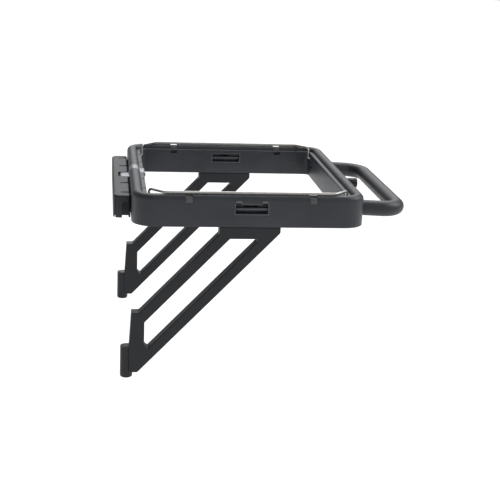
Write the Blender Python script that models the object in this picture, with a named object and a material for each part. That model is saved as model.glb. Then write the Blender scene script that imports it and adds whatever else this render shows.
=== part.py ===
"""Folding bag carrier: a moulded ring that hinges up on a trolley's end, held level by two braces.

Metres, +Z up. The origin is the centre of the hinge block's back face, which meets the trolley.
+X points away from the trolley and +Y across it; "near" pieces lie at -Y and "far" pieces at +Y.
"""

import math

import bmesh
import bpy
from mathutils import Matrix, Vector

# Overall sizes
RING_WIDTH = 0.470          # across the two long rails, Y
RING_LENGTH = 0.406         # from the rear rail's outer face to the front rail's, X
RING_HEIGHT = 0.056         # from the bottom edge to the rim's crest
BLOCK_DEPTH = 0.030
BLOCK_WIDTH = 0.352
BLOCK_HEIGHT = 0.040
BRACE_DROP = 0.2665         # from the ring's bottom edge to the brace's foot
BRACE_REACH = 0.255         # from the upright's back to the top corner, X
HANDLE_REACH = 0.0767       # from the front rail's outer face to the handle's centre line

# Ring section
RAIL_WIDTH = 0.027
RIM_RADIUS = 0.010
LEDGE_DROP = 0.008          # the inner ledge below the rim's crest
RING_WALL = 0.003
REAR_CORNER = 0.040
FRONT_CORNER = 0.038
CORNER_STEPS = 9

# Hinge between block and ring
HINGE_GAP = 0.001           # between the block's front face and the rear rail
HINGE_BACK = 0.0125         # the rod's axis behind the rear rail's outer face
HINGE_BELOW = 0.0075        # the rod's axis below the block's top
ROD_RADIUS = 0.0025
BLOCK_WALL = 0.003
BLOCK_CORNER = 0.012
BLOCK_EDGE = 0.004
LUG_WIDTH = 0.004
LUG_RADIUS = 0.0042
LUG_PITCH = 0.075
SLOT_FLARE = 0.0025         # how much wider a lug's slot is at the front, on each side
RIB_SIDE = 0.005            # rib left on each side of a slot's narrow end
STRAP_WIDTH = 0.036
STRAP_THICKNESS = 0.0015
STRAP_KNUCKLE = 0.0068      # the outer radius of the strap's knuckle round the rod
STRAP_TAIL = 0.014          # how far the strap runs down the rear rail's inner face
SCREW_RADIUS = 0.0015
SCREW_HEAD = 0.0028         # the strap screw's head, across its radius
SCREW_HEAD_HEIGHT = 0.0016
POST_GAP_WIDTH = 0.0125     # the hook's opening for the trolley's post
POST_GAP_HEIGHT = 0.0285
POST_GAP_X = 0.0218

# Braces
BRACE_THICKNESS = 0.024
BRACE_INSET = 0.002         # the brace's outer face inside the ring's outer face
BRACE_SLOPE = 0.95          # run over rise of the diagonals
BRACE_UPRIGHT = 0.023
BRACE_UPRIGHT_X = 0.0325
BRACE_UPRIGHT_TOP = 0.156   # the upright's top below the ring's bottom edge
LOWER_BAR = 0.025           # the lower diagonal's width, measured along X
UPPER_BAR = 0.0265
WEB_HEIGHT = 0.0215         # the brace's solid strip above its cut-out
BRACE_TIP = 0.010           # the short vertical edge at the top corner
BRACE_SHOULDER = 0.0075     # the upper diagonal's short shoulder under the ring, along X
BRACE_CUT_BEVEL = 0.006
BRACE_EDGE = 0.0015
BRACE_FLARE = 0.0035        # how far the upright spreads back towards the barrel
BARREL_X = 0.025
BARREL_RADIUS = 0.011
BARREL_LENGTH = 0.058
BARREL_BELOW = 0.011        # the barrel's foot below the brace's foot
BARREL_ROUND = 0.003
BUSH_OUTER = 0.0065
BUSH_LENGTH = 0.014
PIN_RADIUS = 0.004
STRIKER_LENGTH = 0.060
STRIKER_WIDTH = 0.012
STRIKER_SCREW_DEPTH = 0.010

# Handle
HANDLE_RADIUS = 0.014
HANDLE_WALL = 0.003
HANDLE_BEND = 0.035
HANDLE_LEG_Y = 0.1685
HANDLE_Z = 0.022            # the legs above the ring's bottom edge
HANDLE_DROOP = math.radians(2.4)
COLLAR_LENGTH = 0.0085
COLLAR_BACK = 0.0015        # free depth between the rail's outer wall and the collar

# Wire bails and their clips
WIRE_RADIUS = 0.00225
BAIL_AXIS_IN = 0.042        # the bail's pivot axis inside the ring's outer face
BAIL_AXIS_DROP = 0.018      # the pivot axis below the rim's crest
BAIL_SHOULDER = 0.006       # from the pivot to the arm's upper bend, across
BAIL_STANDOFF = 0.0008      # between the wire's arm and the rail's inner wall
BAIL_LEAN = 0.0245          # how far along X each end of the run leans off the crest
BAIL_BENDS = (0.0035, 0.008, 0.012)
BUSH_SEAT = 0.0042          # the bail bush's outer radius
CLIP_WIDTH = 0.0128
CLIP_LEG = 0.004            # the clip's legs below the middle of the rim's arc
CLIP_GROOVE = 0.0045        # the groove under the wire, in from the rim's surface
CLIP_GROOVE_OUTER = 50.0    # the groove's two ends, in degrees from the crest
CLIP_GROOVE_INNER = 20.0
CLIP_WALL = 0.002
CLIP_SLOT_DROP = 0.0012     # the inner wall's slot beside each clip, below the ledge
CLIP_SLOT_HEIGHT = 0.006
CLIP_FROM_REAR = 0.0965     # from the rear rail's outer face to the first clip's centre
CLIP_PITCH = 0.215

# Side latches
LATCH_FROM_REAR = 0.2045
LATCH_WIDTH = 0.062
LATCH_HEIGHT = 0.022
LATCH_BOTTOM = 0.021        # the latch window above the ring's bottom edge
BEZEL_LIP = 0.003           # the bezel's frame round its opening
TAB_WIDTH = 0.0105
TAB_HEIGHT = 0.004
LEVER_SIDE = 0.0035         # from the latch window's end to the lever's end
LEVER_HUB = 0.0042
LEVER_BAR_DROP = 0.0045     # the finger bar's middle below the pin
LEVER_BAR_HEIGHT = 0.0056
LEVER_PIN_RADIUS = 0.0015
LEVER_PIN_DROP = 0.004      # the pin below the top of the bezel's opening
SPRING_RADIUS = 0.0032
SPRING_PITCH = 0.0026
SPRING_TURNS = 8
SPRING_WIRE = 0.0006
SPRING_START = 0.012        # the spring's rear end behind the latch's middle

# Knob
KNOB_RADIUS = 0.009
KNOB_LENGTH = 0.018
KNOB_FLUTES = 14
KNOB_FLUTE_DEPTH = 0.00045
KNOB_STUD_REACH = 0.0095    # how far the stud goes into the knob
KNOB_NUT_HEIGHT = 0.0048
KNOB_Y = -0.058
KNOB_Z = 0.042              # above the ring's bottom edge
STUD_RADIUS = 0.003

# Clearances
GAP = 0.0003                # between pieces that touch on the real object
RUNNING = 0.0005            # between pieces that move past each other

# Positions that follow from the sizes
RING_REAR = BLOCK_DEPTH + HINGE_GAP
RING_FRONT = RING_REAR + RING_LENGTH
RING_SIDE = RING_WIDTH / 2
RING_BOTTOM = -BLOCK_HEIGHT / 2
RIM_TOP = RING_BOTTOM + RING_HEIGHT
RIM_CENTRE_Z = RIM_TOP - RIM_RADIUS
LEDGE_Z = RIM_TOP - LEDGE_DROP
BLOCK_TOP = BLOCK_HEIGHT / 2
HINGE_X = RING_REAR - HINGE_BACK
HINGE_Z = BLOCK_TOP - HINGE_BELOW
BRACE_Y = RING_SIDE - BRACE_INSET - BRACE_THICKNESS / 2
BRACE_TOP = RING_BOTTOM - RUNNING
BRACE_FOOT = RING_BOTTOM - BRACE_DROP
LATCH_X = RING_REAR + LATCH_FROM_REAR
LATCH_Z = RING_BOTTOM + LATCH_BOTTOM
BAIL_Y = RING_SIDE - BAIL_AXIS_IN
BAIL_Z = RIM_TOP - BAIL_AXIS_DROP
SIDES = (("near", -1), ("far", 1))

WHITE_METAL = ("bright_steel", (0.72, 0.72, 0.70), 0.25, 1.0)
ZINC = ("zinc_plate", (0.50, 0.54, 0.60), 0.35, 1.0)
BLACK_PLASTIC = ("black_plastic", (0.045, 0.045, 0.05), 0.45, 0.0)
GREY_PLASTIC = ("grey_plastic", (0.30, 0.30, 0.31), 0.5, 0.0)
HANDLE_PLASTIC = ("handle_plastic", (0.06, 0.06, 0.065), 0.38, 0.0)


# ---------------------------------------------------------------- helpers

def clear_scene():
    """Remove every object that the file opened with."""
    for item in list(bpy.data.objects):
        bpy.data.objects.remove(item, do_unlink=True)


def material(finish):
    """The Principled material of a finish, made the first time it is asked for."""
    name, colour, roughness, metallic = finish
    found = bpy.data.materials.get(name)
    if found:
        return found
    made = bpy.data.materials.new(name)
    made.use_nodes = True
    shader = made.node_tree.nodes["Principled BSDF"]
    shader.inputs["Base Color"].default_value = (*colour, 1.0)
    shader.inputs["Roughness"].default_value = roughness
    shader.inputs["Metallic"].default_value = metallic
    return made


def axis_empty(name, location, parent=None):
    """An empty on a joint's axis, which the moving pieces hang from."""
    empty = bpy.data.objects.new(name, None)
    bpy.context.collection.objects.link(empty)
    base = parent.matrix_world.translation if parent else Vector((0, 0, 0))
    empty.parent = parent
    empty.location = Vector(location) - base
    bpy.context.view_layer.update()
    return empty


def add_object(name, bm, finish, parent=None):
    """Turn a bmesh in world coordinates into an object whose origin is its parent's."""
    bmesh.ops.recalc_face_normals(bm, faces=bm.faces)
    base = parent.matrix_world.translation if parent else Vector((0, 0, 0))
    bmesh.ops.translate(bm, verts=bm.verts, vec=-base)
    mesh = bpy.data.meshes.new(name)
    bm.to_mesh(mesh)
    bm.free()
    mesh.shade_smooth()
    mesh.set_sharp_from_angle(angle=math.radians(35))
    mesh.materials.append(material(finish))
    item = bpy.data.objects.new(name, mesh)
    bpy.context.collection.objects.link(item)
    item.parent = parent
    return item


def hide_guide(item):
    """Mark an object that only shapes another one."""
    item.hide_render = True
    item.display_type = "WIRE"


def combine(target, bm, operation="DIFFERENCE"):
    """Cut a bmesh out of an object, or join it on, with a live Boolean."""
    guide = add_object(f"{target.name}_guide", bm, BLACK_PLASTIC, target.parent)
    hide_guide(guide)
    modifier = target.modifiers.new("shape", "BOOLEAN")
    modifier.operation = operation
    modifier.solver = "EXACT"
    modifier.object = guide


def box(low, high):
    """A box between two corners."""
    bm = bmesh.new()
    bmesh.ops.create_cube(bm, size=1.0)
    low = Vector(low)
    size = Vector(high) - low
    bmesh.ops.scale(bm, verts=bm.verts, vec=size)
    bmesh.ops.translate(bm, verts=bm.verts, vec=low + size / 2)
    return bm


def prism(outline, low, high, axis="Y"):
    """Extrude a closed outline along an axis.

    The outline's pairs are (x, z) for axis Y, (y, z) for axis X and (x, y) for axis Z.
    """
    def point(pair, depth):
        a, b = pair
        return {"Y": (a, depth, b), "X": (depth, a, b), "Z": (a, b, depth)}[axis]

    bm = bmesh.new()
    lower = [bm.verts.new(point(pair, low)) for pair in outline]
    upper = [bm.verts.new(point(pair, high)) for pair in outline]
    bm.faces.new(lower)
    bm.faces.new(reversed(upper))
    for i in range(len(outline)):
        j = (i + 1) % len(outline)
        bm.faces.new((lower[i], upper[i], upper[j], lower[j]))
    bmesh.ops.recalc_face_normals(bm, faces=bm.faces)
    return bm


def arc(centre, radius, start, end, steps):
    """Points on an arc, angles in degrees from the first axis towards the second."""
    points = []
    for i in range(steps + 1):
        angle = math.radians(start + (end - start) * i / steps)
        points.append((centre[0] + radius * math.cos(angle), centre[1] + radius * math.sin(angle)))
    return points


def circle(centre, radius, steps):
    """Points round a full circle."""
    return arc(centre, radius, 0, 360, steps)[:-1]


def cylinder(axis, centre, radius, low, high, steps=24):
    """A cylinder along an axis; the centre's pair is as in prism."""
    return prism(circle(centre, radius, steps), low, high, axis)


def sleeve(axis, centre, outer, inner, low, high, steps=24):
    """A cylinder with a through bore."""
    bm = bmesh.new()
    order = {"Y": (0, 2, 1), "X": (1, 2, 0), "Z": (0, 1, 2)}[axis]
    loops = []
    for radius, depth in ((outer, low), (outer, high), (inner, high), (inner, low)):
        loop = []
        for a, b in circle(centre, radius, steps):
            spot = [0.0, 0.0, 0.0]
            spot[order[0]] = a
            spot[order[1]] = b
            spot[order[2]] = depth
            loop.append(bm.verts.new(spot))
        loops.append(loop)
    bridge(bm, loops + loops[:1])
    return bm


def bridge(bm, loops):
    """Join each loop of vertices to the next with quads."""
    for first, second in zip(loops, loops[1:]):
        count = len(first)
        for i in range(count):
            j = (i + 1) % count
            bm.faces.new((first[i], first[j], second[j], second[i]))


def round_corners(points, radii, steps=6):
    """A polyline in space with each inner corner replaced by an arc that touches both legs."""
    path = [Vector(points[0])]
    for before, corner, after, radius in zip(points, points[1:], points[2:], radii):
        before, corner, after = Vector(before), Vector(corner), Vector(after)
        back = (before - corner).normalized()
        ahead = (after - corner).normalized()
        half = back.angle(ahead) / 2
        reach = radius / math.tan(half)
        middle = corner + (back + ahead).normalized() * (radius / math.sin(half))
        start = corner + back * reach - middle
        end = corner + ahead * reach - middle
        turn = start.angle(end)
        for i in range(steps + 1):
            t = i / steps
            blend = (start * math.sin((1 - t) * turn) + end * math.sin(t * turn)) / math.sin(turn)
            path.append(middle + blend)
    path.append(Vector(points[-1]))
    return path


def tube(path, radius, bore=0.0, steps=12):
    """A round bar or, with a bore, a pipe along a path, its section kept from twisting."""
    bm = bmesh.new()
    tangent = (path[1] - path[0]).normalized()
    side = tangent.orthogonal().normalized()
    rings = []
    for i, spot in enumerate(path):
        ahead = path[min(i + 1, len(path) - 1)] - path[max(i - 1, 0)]
        ahead.normalize()
        side = side - ahead * side.dot(ahead)
        side.normalize()
        up = ahead.cross(side)
        ring = []
        for k in range(steps):
            angle = 2 * math.pi * k / steps
            ring.append(side * math.cos(angle) + up * math.sin(angle))
        rings.append((spot, ring))
    outer = [[bm.verts.new(spot + arm * radius) for arm in ring] for spot, ring in rings]
    if bore:
        inner = [[bm.verts.new(spot + arm * bore) for arm in ring] for spot, ring in rings]
        bridge(bm, outer + inner[::-1] + outer[:1])
    else:
        bridge(bm, outer)
        bm.faces.new(outer[0][::-1])
        bm.faces.new(outer[-1])
    return bm


def smooth_edges(item, width, segments=2):
    """Round an object's sharp edges with a live Bevel."""
    bevel = item.modifiers.new("edges", "BEVEL")
    bevel.width = width
    bevel.segments = segments
    bevel.limit_method = "ANGLE"
    bevel.angle_limit = math.radians(40)


# ---------------------------------------------------------------- hinge block

def lug_places():
    """Y of each plastic hinge lug; the strap takes the middle place."""
    return [LUG_PITCH * n for n in (-2, -1, 1, 2)]


def rib_places():
    """(Y, half width) of each rib of the block, the strap's included."""
    lug_half = LUG_WIDTH / 2 + RUNNING + RIB_SIDE
    strap_half = STRAP_WIDTH / 2 + RUNNING + RIB_SIDE
    ribs = [(y, lug_half) for y in lug_places()]
    return sorted(ribs + [(0.0, strap_half)])


def build_hinge_block():
    """The block: a tray open below, ribbed at each hinge slot, with a hooked gap at each end."""
    half = BLOCK_WIDTH / 2
    block = add_object("hinge_block", block_body(), BLACK_PLASTIC)
    edges = [-half + BLOCK_WALL]
    for y, rib_half in rib_places():
        edges += [y - rib_half, y + rib_half]
    edges.append(half - BLOCK_WALL)
    for low, high in zip(edges[::2], edges[1::2]):
        pocket = box((BLOCK_WALL, low, RING_BOTTOM - BLOCK_WALL),
                     (BLOCK_DEPTH - BLOCK_WALL, high, BLOCK_TOP - BLOCK_WALL))
        combine(block, pocket)

    for y in lug_places():
        combine(block, hinge_slot(y, LUG_WIDTH, LUG_RADIUS, SLOT_FLARE))
    combine(block, hinge_slot(0.0, STRAP_WIDTH, STRAP_KNUCKLE, 0.0))
    rod_hole = cylinder("Y", (HINGE_X, HINGE_Z), ROD_RADIUS + GAP, rod_low() - GAP, half + BLOCK_WALL)
    combine(block, rod_hole)
    for _, side in SIDES:
        combine(block, post_gap(side))


def block_body():
    """The block's solid: rounded corners in plan and a rounded top edge over a square foot."""
    half = BLOCK_WIDTH / 2
    profile = [(0.0, RING_BOTTOM)]
    profile += arc((BLOCK_EDGE, BLOCK_TOP - BLOCK_EDGE), BLOCK_EDGE, 180, 90, 4)
    bm = bmesh.new()
    loops = []
    for inset, z in profile:
        back, front = BLOCK_CORNER - inset, BLOCK_EDGE - inset / 2
        low, high, side = inset, BLOCK_DEPTH - inset, half - inset
        outline = arc((low + back, back - side), back, 270, 180, 5)
        outline += arc((low + back, side - back), back, 180, 90, 5)
        outline += arc((high - front, side - front), front, 90, 0, 3)
        outline += arc((high - front, front - side), front, 0, -90, 3)
        loops.append([bm.verts.new((x, y, z)) for x, y in outline])
    bridge(bm, loops)
    bm.faces.new(loops[0][::-1])
    bm.faces.new(loops[-1])
    return bm


def hinge_slot(y, width, radius, flare):
    """The slot in the block's top that a hinge piece turns in, wider towards the front."""
    half = width / 2 + RUNNING
    back = HINGE_X - radius - 2 * RUNNING
    floor = HINGE_Z - radius - 2 * RUNNING
    front = BLOCK_DEPTH + BLOCK_EDGE
    outline = [(back, y - half), (front, y - half - flare),
               (front, y + half + flare), (back, y + half)]
    return prism(outline, floor, BLOCK_TOP + BLOCK_EDGE, "Z")


def post_gap(side):
    """The arched opening in the block's end wall, which hooks over the trolley's post."""
    radius = POST_GAP_WIDTH / 2
    crown = RING_BOTTOM + POST_GAP_HEIGHT - radius
    outline = arc((POST_GAP_X, crown), radius, 0, 180, 8)
    outline += [(POST_GAP_X - radius, RING_BOTTOM - BLOCK_WALL)]
    outline += [(POST_GAP_X + radius, RING_BOTTOM - BLOCK_WALL)]
    half = BLOCK_WIDTH / 2
    ends = sorted((side * (half + BLOCK_WALL), side * (half - 2 * BLOCK_WALL)))
    return prism(outline, ends[0], ends[1], "Y")


def rod_low():
    """The rod's near end, just inside the block's near end wall."""
    return -BLOCK_WIDTH / 2 + BLOCK_WALL + GAP


def rod_high():
    """The rod's far end, behind the plug in the block's far end wall."""
    return BLOCK_WIDTH / 2 - 2 * BLOCK_WALL - GAP


def build_hinge_rod():
    """The steel rod through the block, and the plug behind it in the far end wall."""
    rod = cylinder("Y", (HINGE_X, HINGE_Z), ROD_RADIUS, rod_low(), rod_high(), 20)
    add_object("hinge_rod", rod, WHITE_METAL)
    plug = cylinder("Y", (HINGE_X, HINGE_Z), ROD_RADIUS, rod_high() + GAP, BLOCK_WIDTH / 2, 20)
    add_object("rod_plug", plug, BLACK_PLASTIC)


# ---------------------------------------------------------------- ring

def ring_outline(inset):
    """The ring's plan outline, moved inwards; every inset has the same number of points."""
    low, high = RING_REAR + inset, RING_FRONT - inset
    side = RING_SIDE - inset
    rear, front = REAR_CORNER - inset, FRONT_CORNER - inset
    points = arc((high - front, -side + front), front, 270, 360, CORNER_STEPS)
    points += arc((high - front, side - front), front, 0, 90, CORNER_STEPS)
    points += arc((low + rear, side - rear), rear, 90, 180, CORNER_STEPS)
    points += arc((low + rear, -side + rear), rear, 180, 270, CORNER_STEPS)
    return points


def level_angle(radius, z):
    """The angle in degrees at which an arc about the rim's centre comes down to height z."""
    return math.degrees(math.asin((z - RIM_CENTRE_Z) / radius))


def rim_section():
    """(inset, z) points round the rail's hollow section, which is open below."""
    centre = (RIM_RADIUS, RIM_CENTRE_Z)
    ledge_angle = level_angle(RIM_RADIUS, LEDGE_Z)
    inside = RIM_RADIUS - RING_WALL
    under_ledge = LEDGE_Z - RING_WALL
    inner_angle = level_angle(inside, under_ledge)
    section = [(0.0, RING_BOTTOM)]
    section += arc(centre, RIM_RADIUS, 180, ledge_angle, 9)
    section += [(RAIL_WIDTH, LEDGE_Z), (RAIL_WIDTH, RING_BOTTOM)]
    section += [(RAIL_WIDTH - RING_WALL, RING_BOTTOM), (RAIL_WIDTH - RING_WALL, under_ledge)]
    section += arc(centre, inside, inner_angle, 180, 7)
    section += [(RING_WALL, RING_BOTTOM)]
    return section


def ring_shell():
    """The rail's section carried round the ring."""
    bm = bmesh.new()
    loops = []
    for inset, z in rim_section():
        loops.append([bm.verts.new((x, y, z)) for x, y in ring_outline(inset)])
    bridge(bm, loops + loops[:1])
    return bm


def hinge_lug(y):
    """A lug from the rear rail to the rod; its bore is cut afterwards."""
    eye = arc((HINGE_X, HINGE_Z), LUG_RADIUS, 90, 270, 8)
    root = RING_REAR + RING_WALL / 2
    outline = eye + [(root, HINGE_Z - LUG_RADIUS), (root, HINGE_Z + LUG_RADIUS)]
    return prism(outline, y - LUG_WIDTH / 2, y + LUG_WIDTH / 2)


def clip_places():
    """X of the clips on each long rail."""
    first = RING_REAR + CLIP_FROM_REAR
    return (("rear", first), ("front", first + CLIP_PITCH))


def across(x, side, inset_low, inset_high, z_low, z_high, width):
    """A box across a long rail: insets are from the ring's outer face."""
    ys = sorted((side * (RING_SIDE - inset_low), side * (RING_SIDE - inset_high)))
    return box((x - width / 2, ys[0], z_low), (x + width / 2, ys[1], z_high))


def build_ring_frame(fold):
    """The moulded ring with its hinge lugs, clip notches, latch windows and holes."""
    ring = add_object("ring_frame", ring_shell(), BLACK_PLASTIC, fold)
    for y in lug_places():
        combine(ring, hinge_lug(y), "UNION")
    far_lug = max(lug_places()) + LUG_WIDTH
    combine(ring, cylinder("Y", (HINGE_X, HINGE_Z), ROD_RADIUS + GAP, -far_lug, far_lug, 20))
    combine(ring, strap_seat())

    past = RING_WALL
    for _, side in SIDES:
        for _, x in clip_places():
            notch = across(x, side, -past, 2 * RIM_RADIUS, clip_foot() - GAP, RIM_TOP + past,
                           CLIP_WIDTH + 2 * GAP)
            slot = across(x, side, RAIL_WIDTH - 2 * RING_WALL, RAIL_WIDTH + past,
                          LEDGE_Z - CLIP_SLOT_DROP - CLIP_SLOT_HEIGHT,
                          LEDGE_Z - CLIP_SLOT_DROP, CLIP_WIDTH)
            combine(ring, notch)
            combine(ring, slot)
        combine(ring, latch_window(side, outer=True))
        combine(ring, latch_window(side, outer=False))
        for end in (-1, 1):
            combine(ring, latch_tab(side, end, GAP))
        combine(ring, handle_bar(side, HANDLE_RADIUS + GAP))
        combine(ring, cylinder("X", (side * HANDLE_LEG_Y, handle_axis_z(inner_face_front())),
                               STUD_RADIUS + GAP, inner_face_front() - past,
                               inner_face_front() + 2 * past, 16))
        for start, end in ((RING_REAR + 2 * RING_WALL, RING_REAR + RAIL_WIDTH + past),
                           (inner_face_front() - past, RING_FRONT - 2 * RING_WALL)):
            combine(ring, cylinder("X", (side * BAIL_Y, BAIL_Z), BUSH_SEAT + GAP, start, end, 16))

    for y in lug_places():
        half = LUG_WIDTH / 2
        ledge_low = RING_REAR + 2 * RIM_RADIUS
        combine(ring, box((ledge_low + GAP, y - half, LEDGE_Z - RING_WALL / 2),
                          (RING_REAR + RAIL_WIDTH + past, y + half, LEDGE_Z + past)))
    combine(ring, cylinder("X", (0.0, strap_screw_z()), SCREW_RADIUS + GAP,
                           RING_REAR + RAIL_WIDTH - 2 * RING_WALL,
                           RING_REAR + RAIL_WIDTH + past, 12))
    combine(ring, cylinder("X", (KNOB_Y, RING_BOTTOM + KNOB_Z), STUD_RADIUS + GAP,
                           RING_FRONT - 2 * RING_WALL, RING_FRONT + past, 16))


def inner_face_front():
    """X of the front rail's inner face."""
    return RING_FRONT - RAIL_WIDTH


# ---------------------------------------------------------------- centre strap

def strap_seat():
    """The strap's recess in the rear rail's outer face, crest and ledge."""
    depth = STRAP_THICKNESS + GAP
    past = RING_WALL
    floor = RIM_RADIUS - depth
    foot = HINGE_Z + ROD_RADIUS
    outline = [(RING_REAR - past, foot), (RING_REAR + depth, foot)]
    outline += arc((RING_REAR + RIM_RADIUS, RIM_CENTRE_Z), floor, 180,
                   level_angle(floor, LEDGE_Z - depth), 9)
    outline += [(RING_REAR + RAIL_WIDTH + past, LEDGE_Z - depth),
                (RING_REAR + RAIL_WIDTH + past, RIM_TOP + past), (RING_REAR - past, RIM_TOP + past)]
    half = STRAP_WIDTH / 2 + GAP
    return prism(outline, -half, half)


def strap_screw_z():
    """Height of the strap's screw, in the rear rail's inner wall."""
    return LEDGE_Z - STRAP_TAIL + 2 * SCREW_HEAD


def build_centre_strap(fold):
    """The steel strap: an eye round the rod, over the rail's crest and down its inner face."""
    thick = STRAP_THICKNESS
    eye_in = ROD_RADIUS + GAP
    crest = (RING_REAR + RIM_RADIUS, RIM_CENTRE_Z)
    drop_in = level_angle(RIM_RADIUS - thick, LEDGE_Z - thick)
    drop_out = level_angle(RIM_RADIUS, LEDGE_Z)
    inner_x = RING_REAR + RAIL_WIDTH + GAP
    outer_x = inner_x + thick
    tail = LEDGE_Z - STRAP_TAIL
    outer = arc((HINGE_X, HINGE_Z), STRAP_KNUCKLE, -60, -270, 12)
    outer += [(RING_REAR, HINGE_Z + STRAP_KNUCKLE)]
    outer += arc(crest, RIM_RADIUS, 180, drop_out, 9) + [(outer_x, LEDGE_Z), (outer_x, tail)]
    inner = [(inner_x, tail), (inner_x, LEDGE_Z - thick)]
    inner += arc(crest, RIM_RADIUS - thick, drop_in, 180, 9)
    inner += [(RING_REAR + thick, HINGE_Z + eye_in)]
    inner += arc((HINGE_X, HINGE_Z), eye_in, -270, -60, 12)
    strap = add_object("centre_strap", prism(outer + inner, -STRAP_WIDTH / 2, STRAP_WIDTH / 2),
                       ZINC, fold)
    spot = (0.0, strap_screw_z())
    combine(strap, cylinder("X", spot, SCREW_RADIUS + GAP, inner_x - GAP, outer_x + GAP, 12))
    seat = outer_x + GAP
    nut_front = RING_REAR + RAIL_WIDTH - RING_WALL - GAP
    nut_back = nut_front - 2 * SCREW_HEAD_HEIGHT
    merge_union("strap_screw", WHITE_METAL, fold,
                cylinder("X", spot, SCREW_HEAD, seat, seat + SCREW_HEAD_HEIGHT, 16),
                cylinder("X", spot, SCREW_RADIUS, nut_back, seat + SCREW_HEAD_HEIGHT / 2, 16))
    add_nut("strap_nut", spot, SCREW_HEAD, SCREW_RADIUS, nut_back, nut_front, fold)


def add_nut(name, spot, radius, bolt_radius, low, high, parent):
    """A hexagon nut along X round a bolt."""
    nut = add_object(name, cylinder("X", spot, radius, low, high, 6), WHITE_METAL, parent)
    combine(nut, cylinder("X", spot, bolt_radius + GAP, low - GAP, high + GAP, 16))


def merge_union(name, finish, parent, first, *others):
    """One object from several overlapping solids, joined by Boolean unions."""
    item = add_object(name, first, finish, parent)
    for other in others:
        combine(item, other, "UNION")
    return item


# ---------------------------------------------------------------- handle

def handle_axis_z(x):
    """Height of the drooping legs' axis at x."""
    return RING_BOTTOM + HANDLE_Z - (x - RING_FRONT) * math.tan(HANDLE_DROOP)


def handle_point(along, y):
    """A point on the handle's plane: along is measured from the front rail's outer face."""
    slope = Matrix.Rotation(HANDLE_DROOP, 4, "Y")
    return Vector((RING_FRONT, y, RING_BOTTOM + HANDLE_Z)) + slope @ Vector((along, 0, 0))


def handle_bar(side, radius):
    """A straight bar along one leg, for the holes that the leg passes through."""
    leg = side * HANDLE_LEG_Y
    path = [handle_point(-handle_inside(), leg), handle_point(HANDLE_REACH / 4, leg)]
    return tube(path, radius, steps=24)


def handle_inside():
    """How far each leg reaches into the hollow front rail."""
    return RAIL_WIDTH - 2 * RING_WALL - GAP


def build_handle(fold):
    """The bent tube, with a plug and a screw in each leg and a collar round it."""
    leg = HANDLE_LEG_Y
    start = -handle_inside()
    corners = [handle_point(start, -leg), handle_point(HANDLE_REACH, -leg),
               handle_point(HANDLE_REACH, leg), handle_point(start, leg)]
    path = round_corners(corners, (HANDLE_BEND, HANDLE_BEND), 8)
    bore = HANDLE_RADIUS - HANDLE_WALL
    add_object("handle_tube", tube(path, HANDLE_RADIUS, bore, 20), HANDLE_PLASTIC, fold)

    head = inner_face_front() - 2 * SCREW_HEAD_HEIGHT
    for name, side in SIDES:
        y = side * leg
        plug_path = [handle_point(start + GAP, y), handle_point(start + handle_inside(), y)]
        plug = add_object(f"{name}_handle_plug", tube(plug_path, bore - GAP, steps=20),
                          BLACK_PLASTIC, fold)
        z = handle_axis_z(inner_face_front())
        screw_end = inner_face_front() + RAIL_WIDTH / 2
        combine(plug, cylinder("X", (y, z), STUD_RADIUS + GAP, head, screw_end + GAP, 16))
        screw_head = cylinder("X", (y, z), 2 * STUD_RADIUS, head, inner_face_front() - GAP, 16)
        shank = cylinder("X", (y, z), STUD_RADIUS, head + SCREW_HEAD_HEIGHT, screw_end, 16)
        merge_union(f"{name}_handle_screw", WHITE_METAL, fold, screw_head, shank)
        collar_end = -RING_WALL - COLLAR_BACK
        collar_path = [handle_point(collar_end - COLLAR_LENGTH, y), handle_point(collar_end, y)]
        collar = tube(collar_path, HANDLE_RADIUS + RING_WALL, HANDLE_RADIUS + GAP, 24)
        add_object(f"{name}_handle_collar", collar, GREY_PLASTIC, fold)


# ---------------------------------------------------------------- bails and clips

def bail_points(side):
    """Corner points of a bail: hook, arm, run along the crest, arm, hook."""
    run_y = side * (RING_SIDE - RIM_RADIUS)
    run_z = RIM_TOP + WIRE_RADIUS + GAP
    shoulder = side * (BAIL_Y + BAIL_SHOULDER)
    axis_y = side * BAIL_Y
    points = []
    for wall, inward in ((RING_REAR + RAIL_WIDTH, 1), (inner_face_front(), -1)):
        arm = wall + inward * (WIRE_RADIUS + BAIL_STANDOFF)
        tip = wall - inward * 2 * RING_WALL
        bend = arm + inward * BAIL_LEAN
        end = [(tip, axis_y, BAIL_Z), (arm, axis_y, BAIL_Z), (arm, shoulder, run_z),
               (bend, run_y, run_z)]
        points += end if inward == 1 else end[::-1]
    return points


def build_bails(fold):
    """The two wire bails, each on its own pivot axis, and the bushes that their hooks turn in."""
    for name, side in SIDES:
        pivot = axis_empty(f"{name}_bail_axis", (LATCH_X, side * BAIL_Y, BAIL_Z), fold)
        path = round_corners(bail_points(side), BAIL_BENDS + BAIL_BENDS[::-1], 5)
        add_object(f"{name}_bail", tube(path, WIRE_RADIUS, steps=10), WHITE_METAL, pivot)
        for place, wall, inward in (("rear", RING_REAR + RAIL_WIDTH, 1),
                                    ("front", inner_face_front(), -1)):
            ends = sorted((wall - inward * GAP, wall - inward * 2 * RING_WALL))
            bush = sleeve("X", (side * BAIL_Y, BAIL_Z), BUSH_SEAT, WIRE_RADIUS + GAP,
                          ends[0], ends[1], 16)
            add_object(f"{name}_{place}_bail_bush", bush, GREY_PLASTIC, fold)


def clip_foot():
    """Z where the clip's legs end."""
    return RIM_CENTRE_Z - CLIP_LEG


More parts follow.
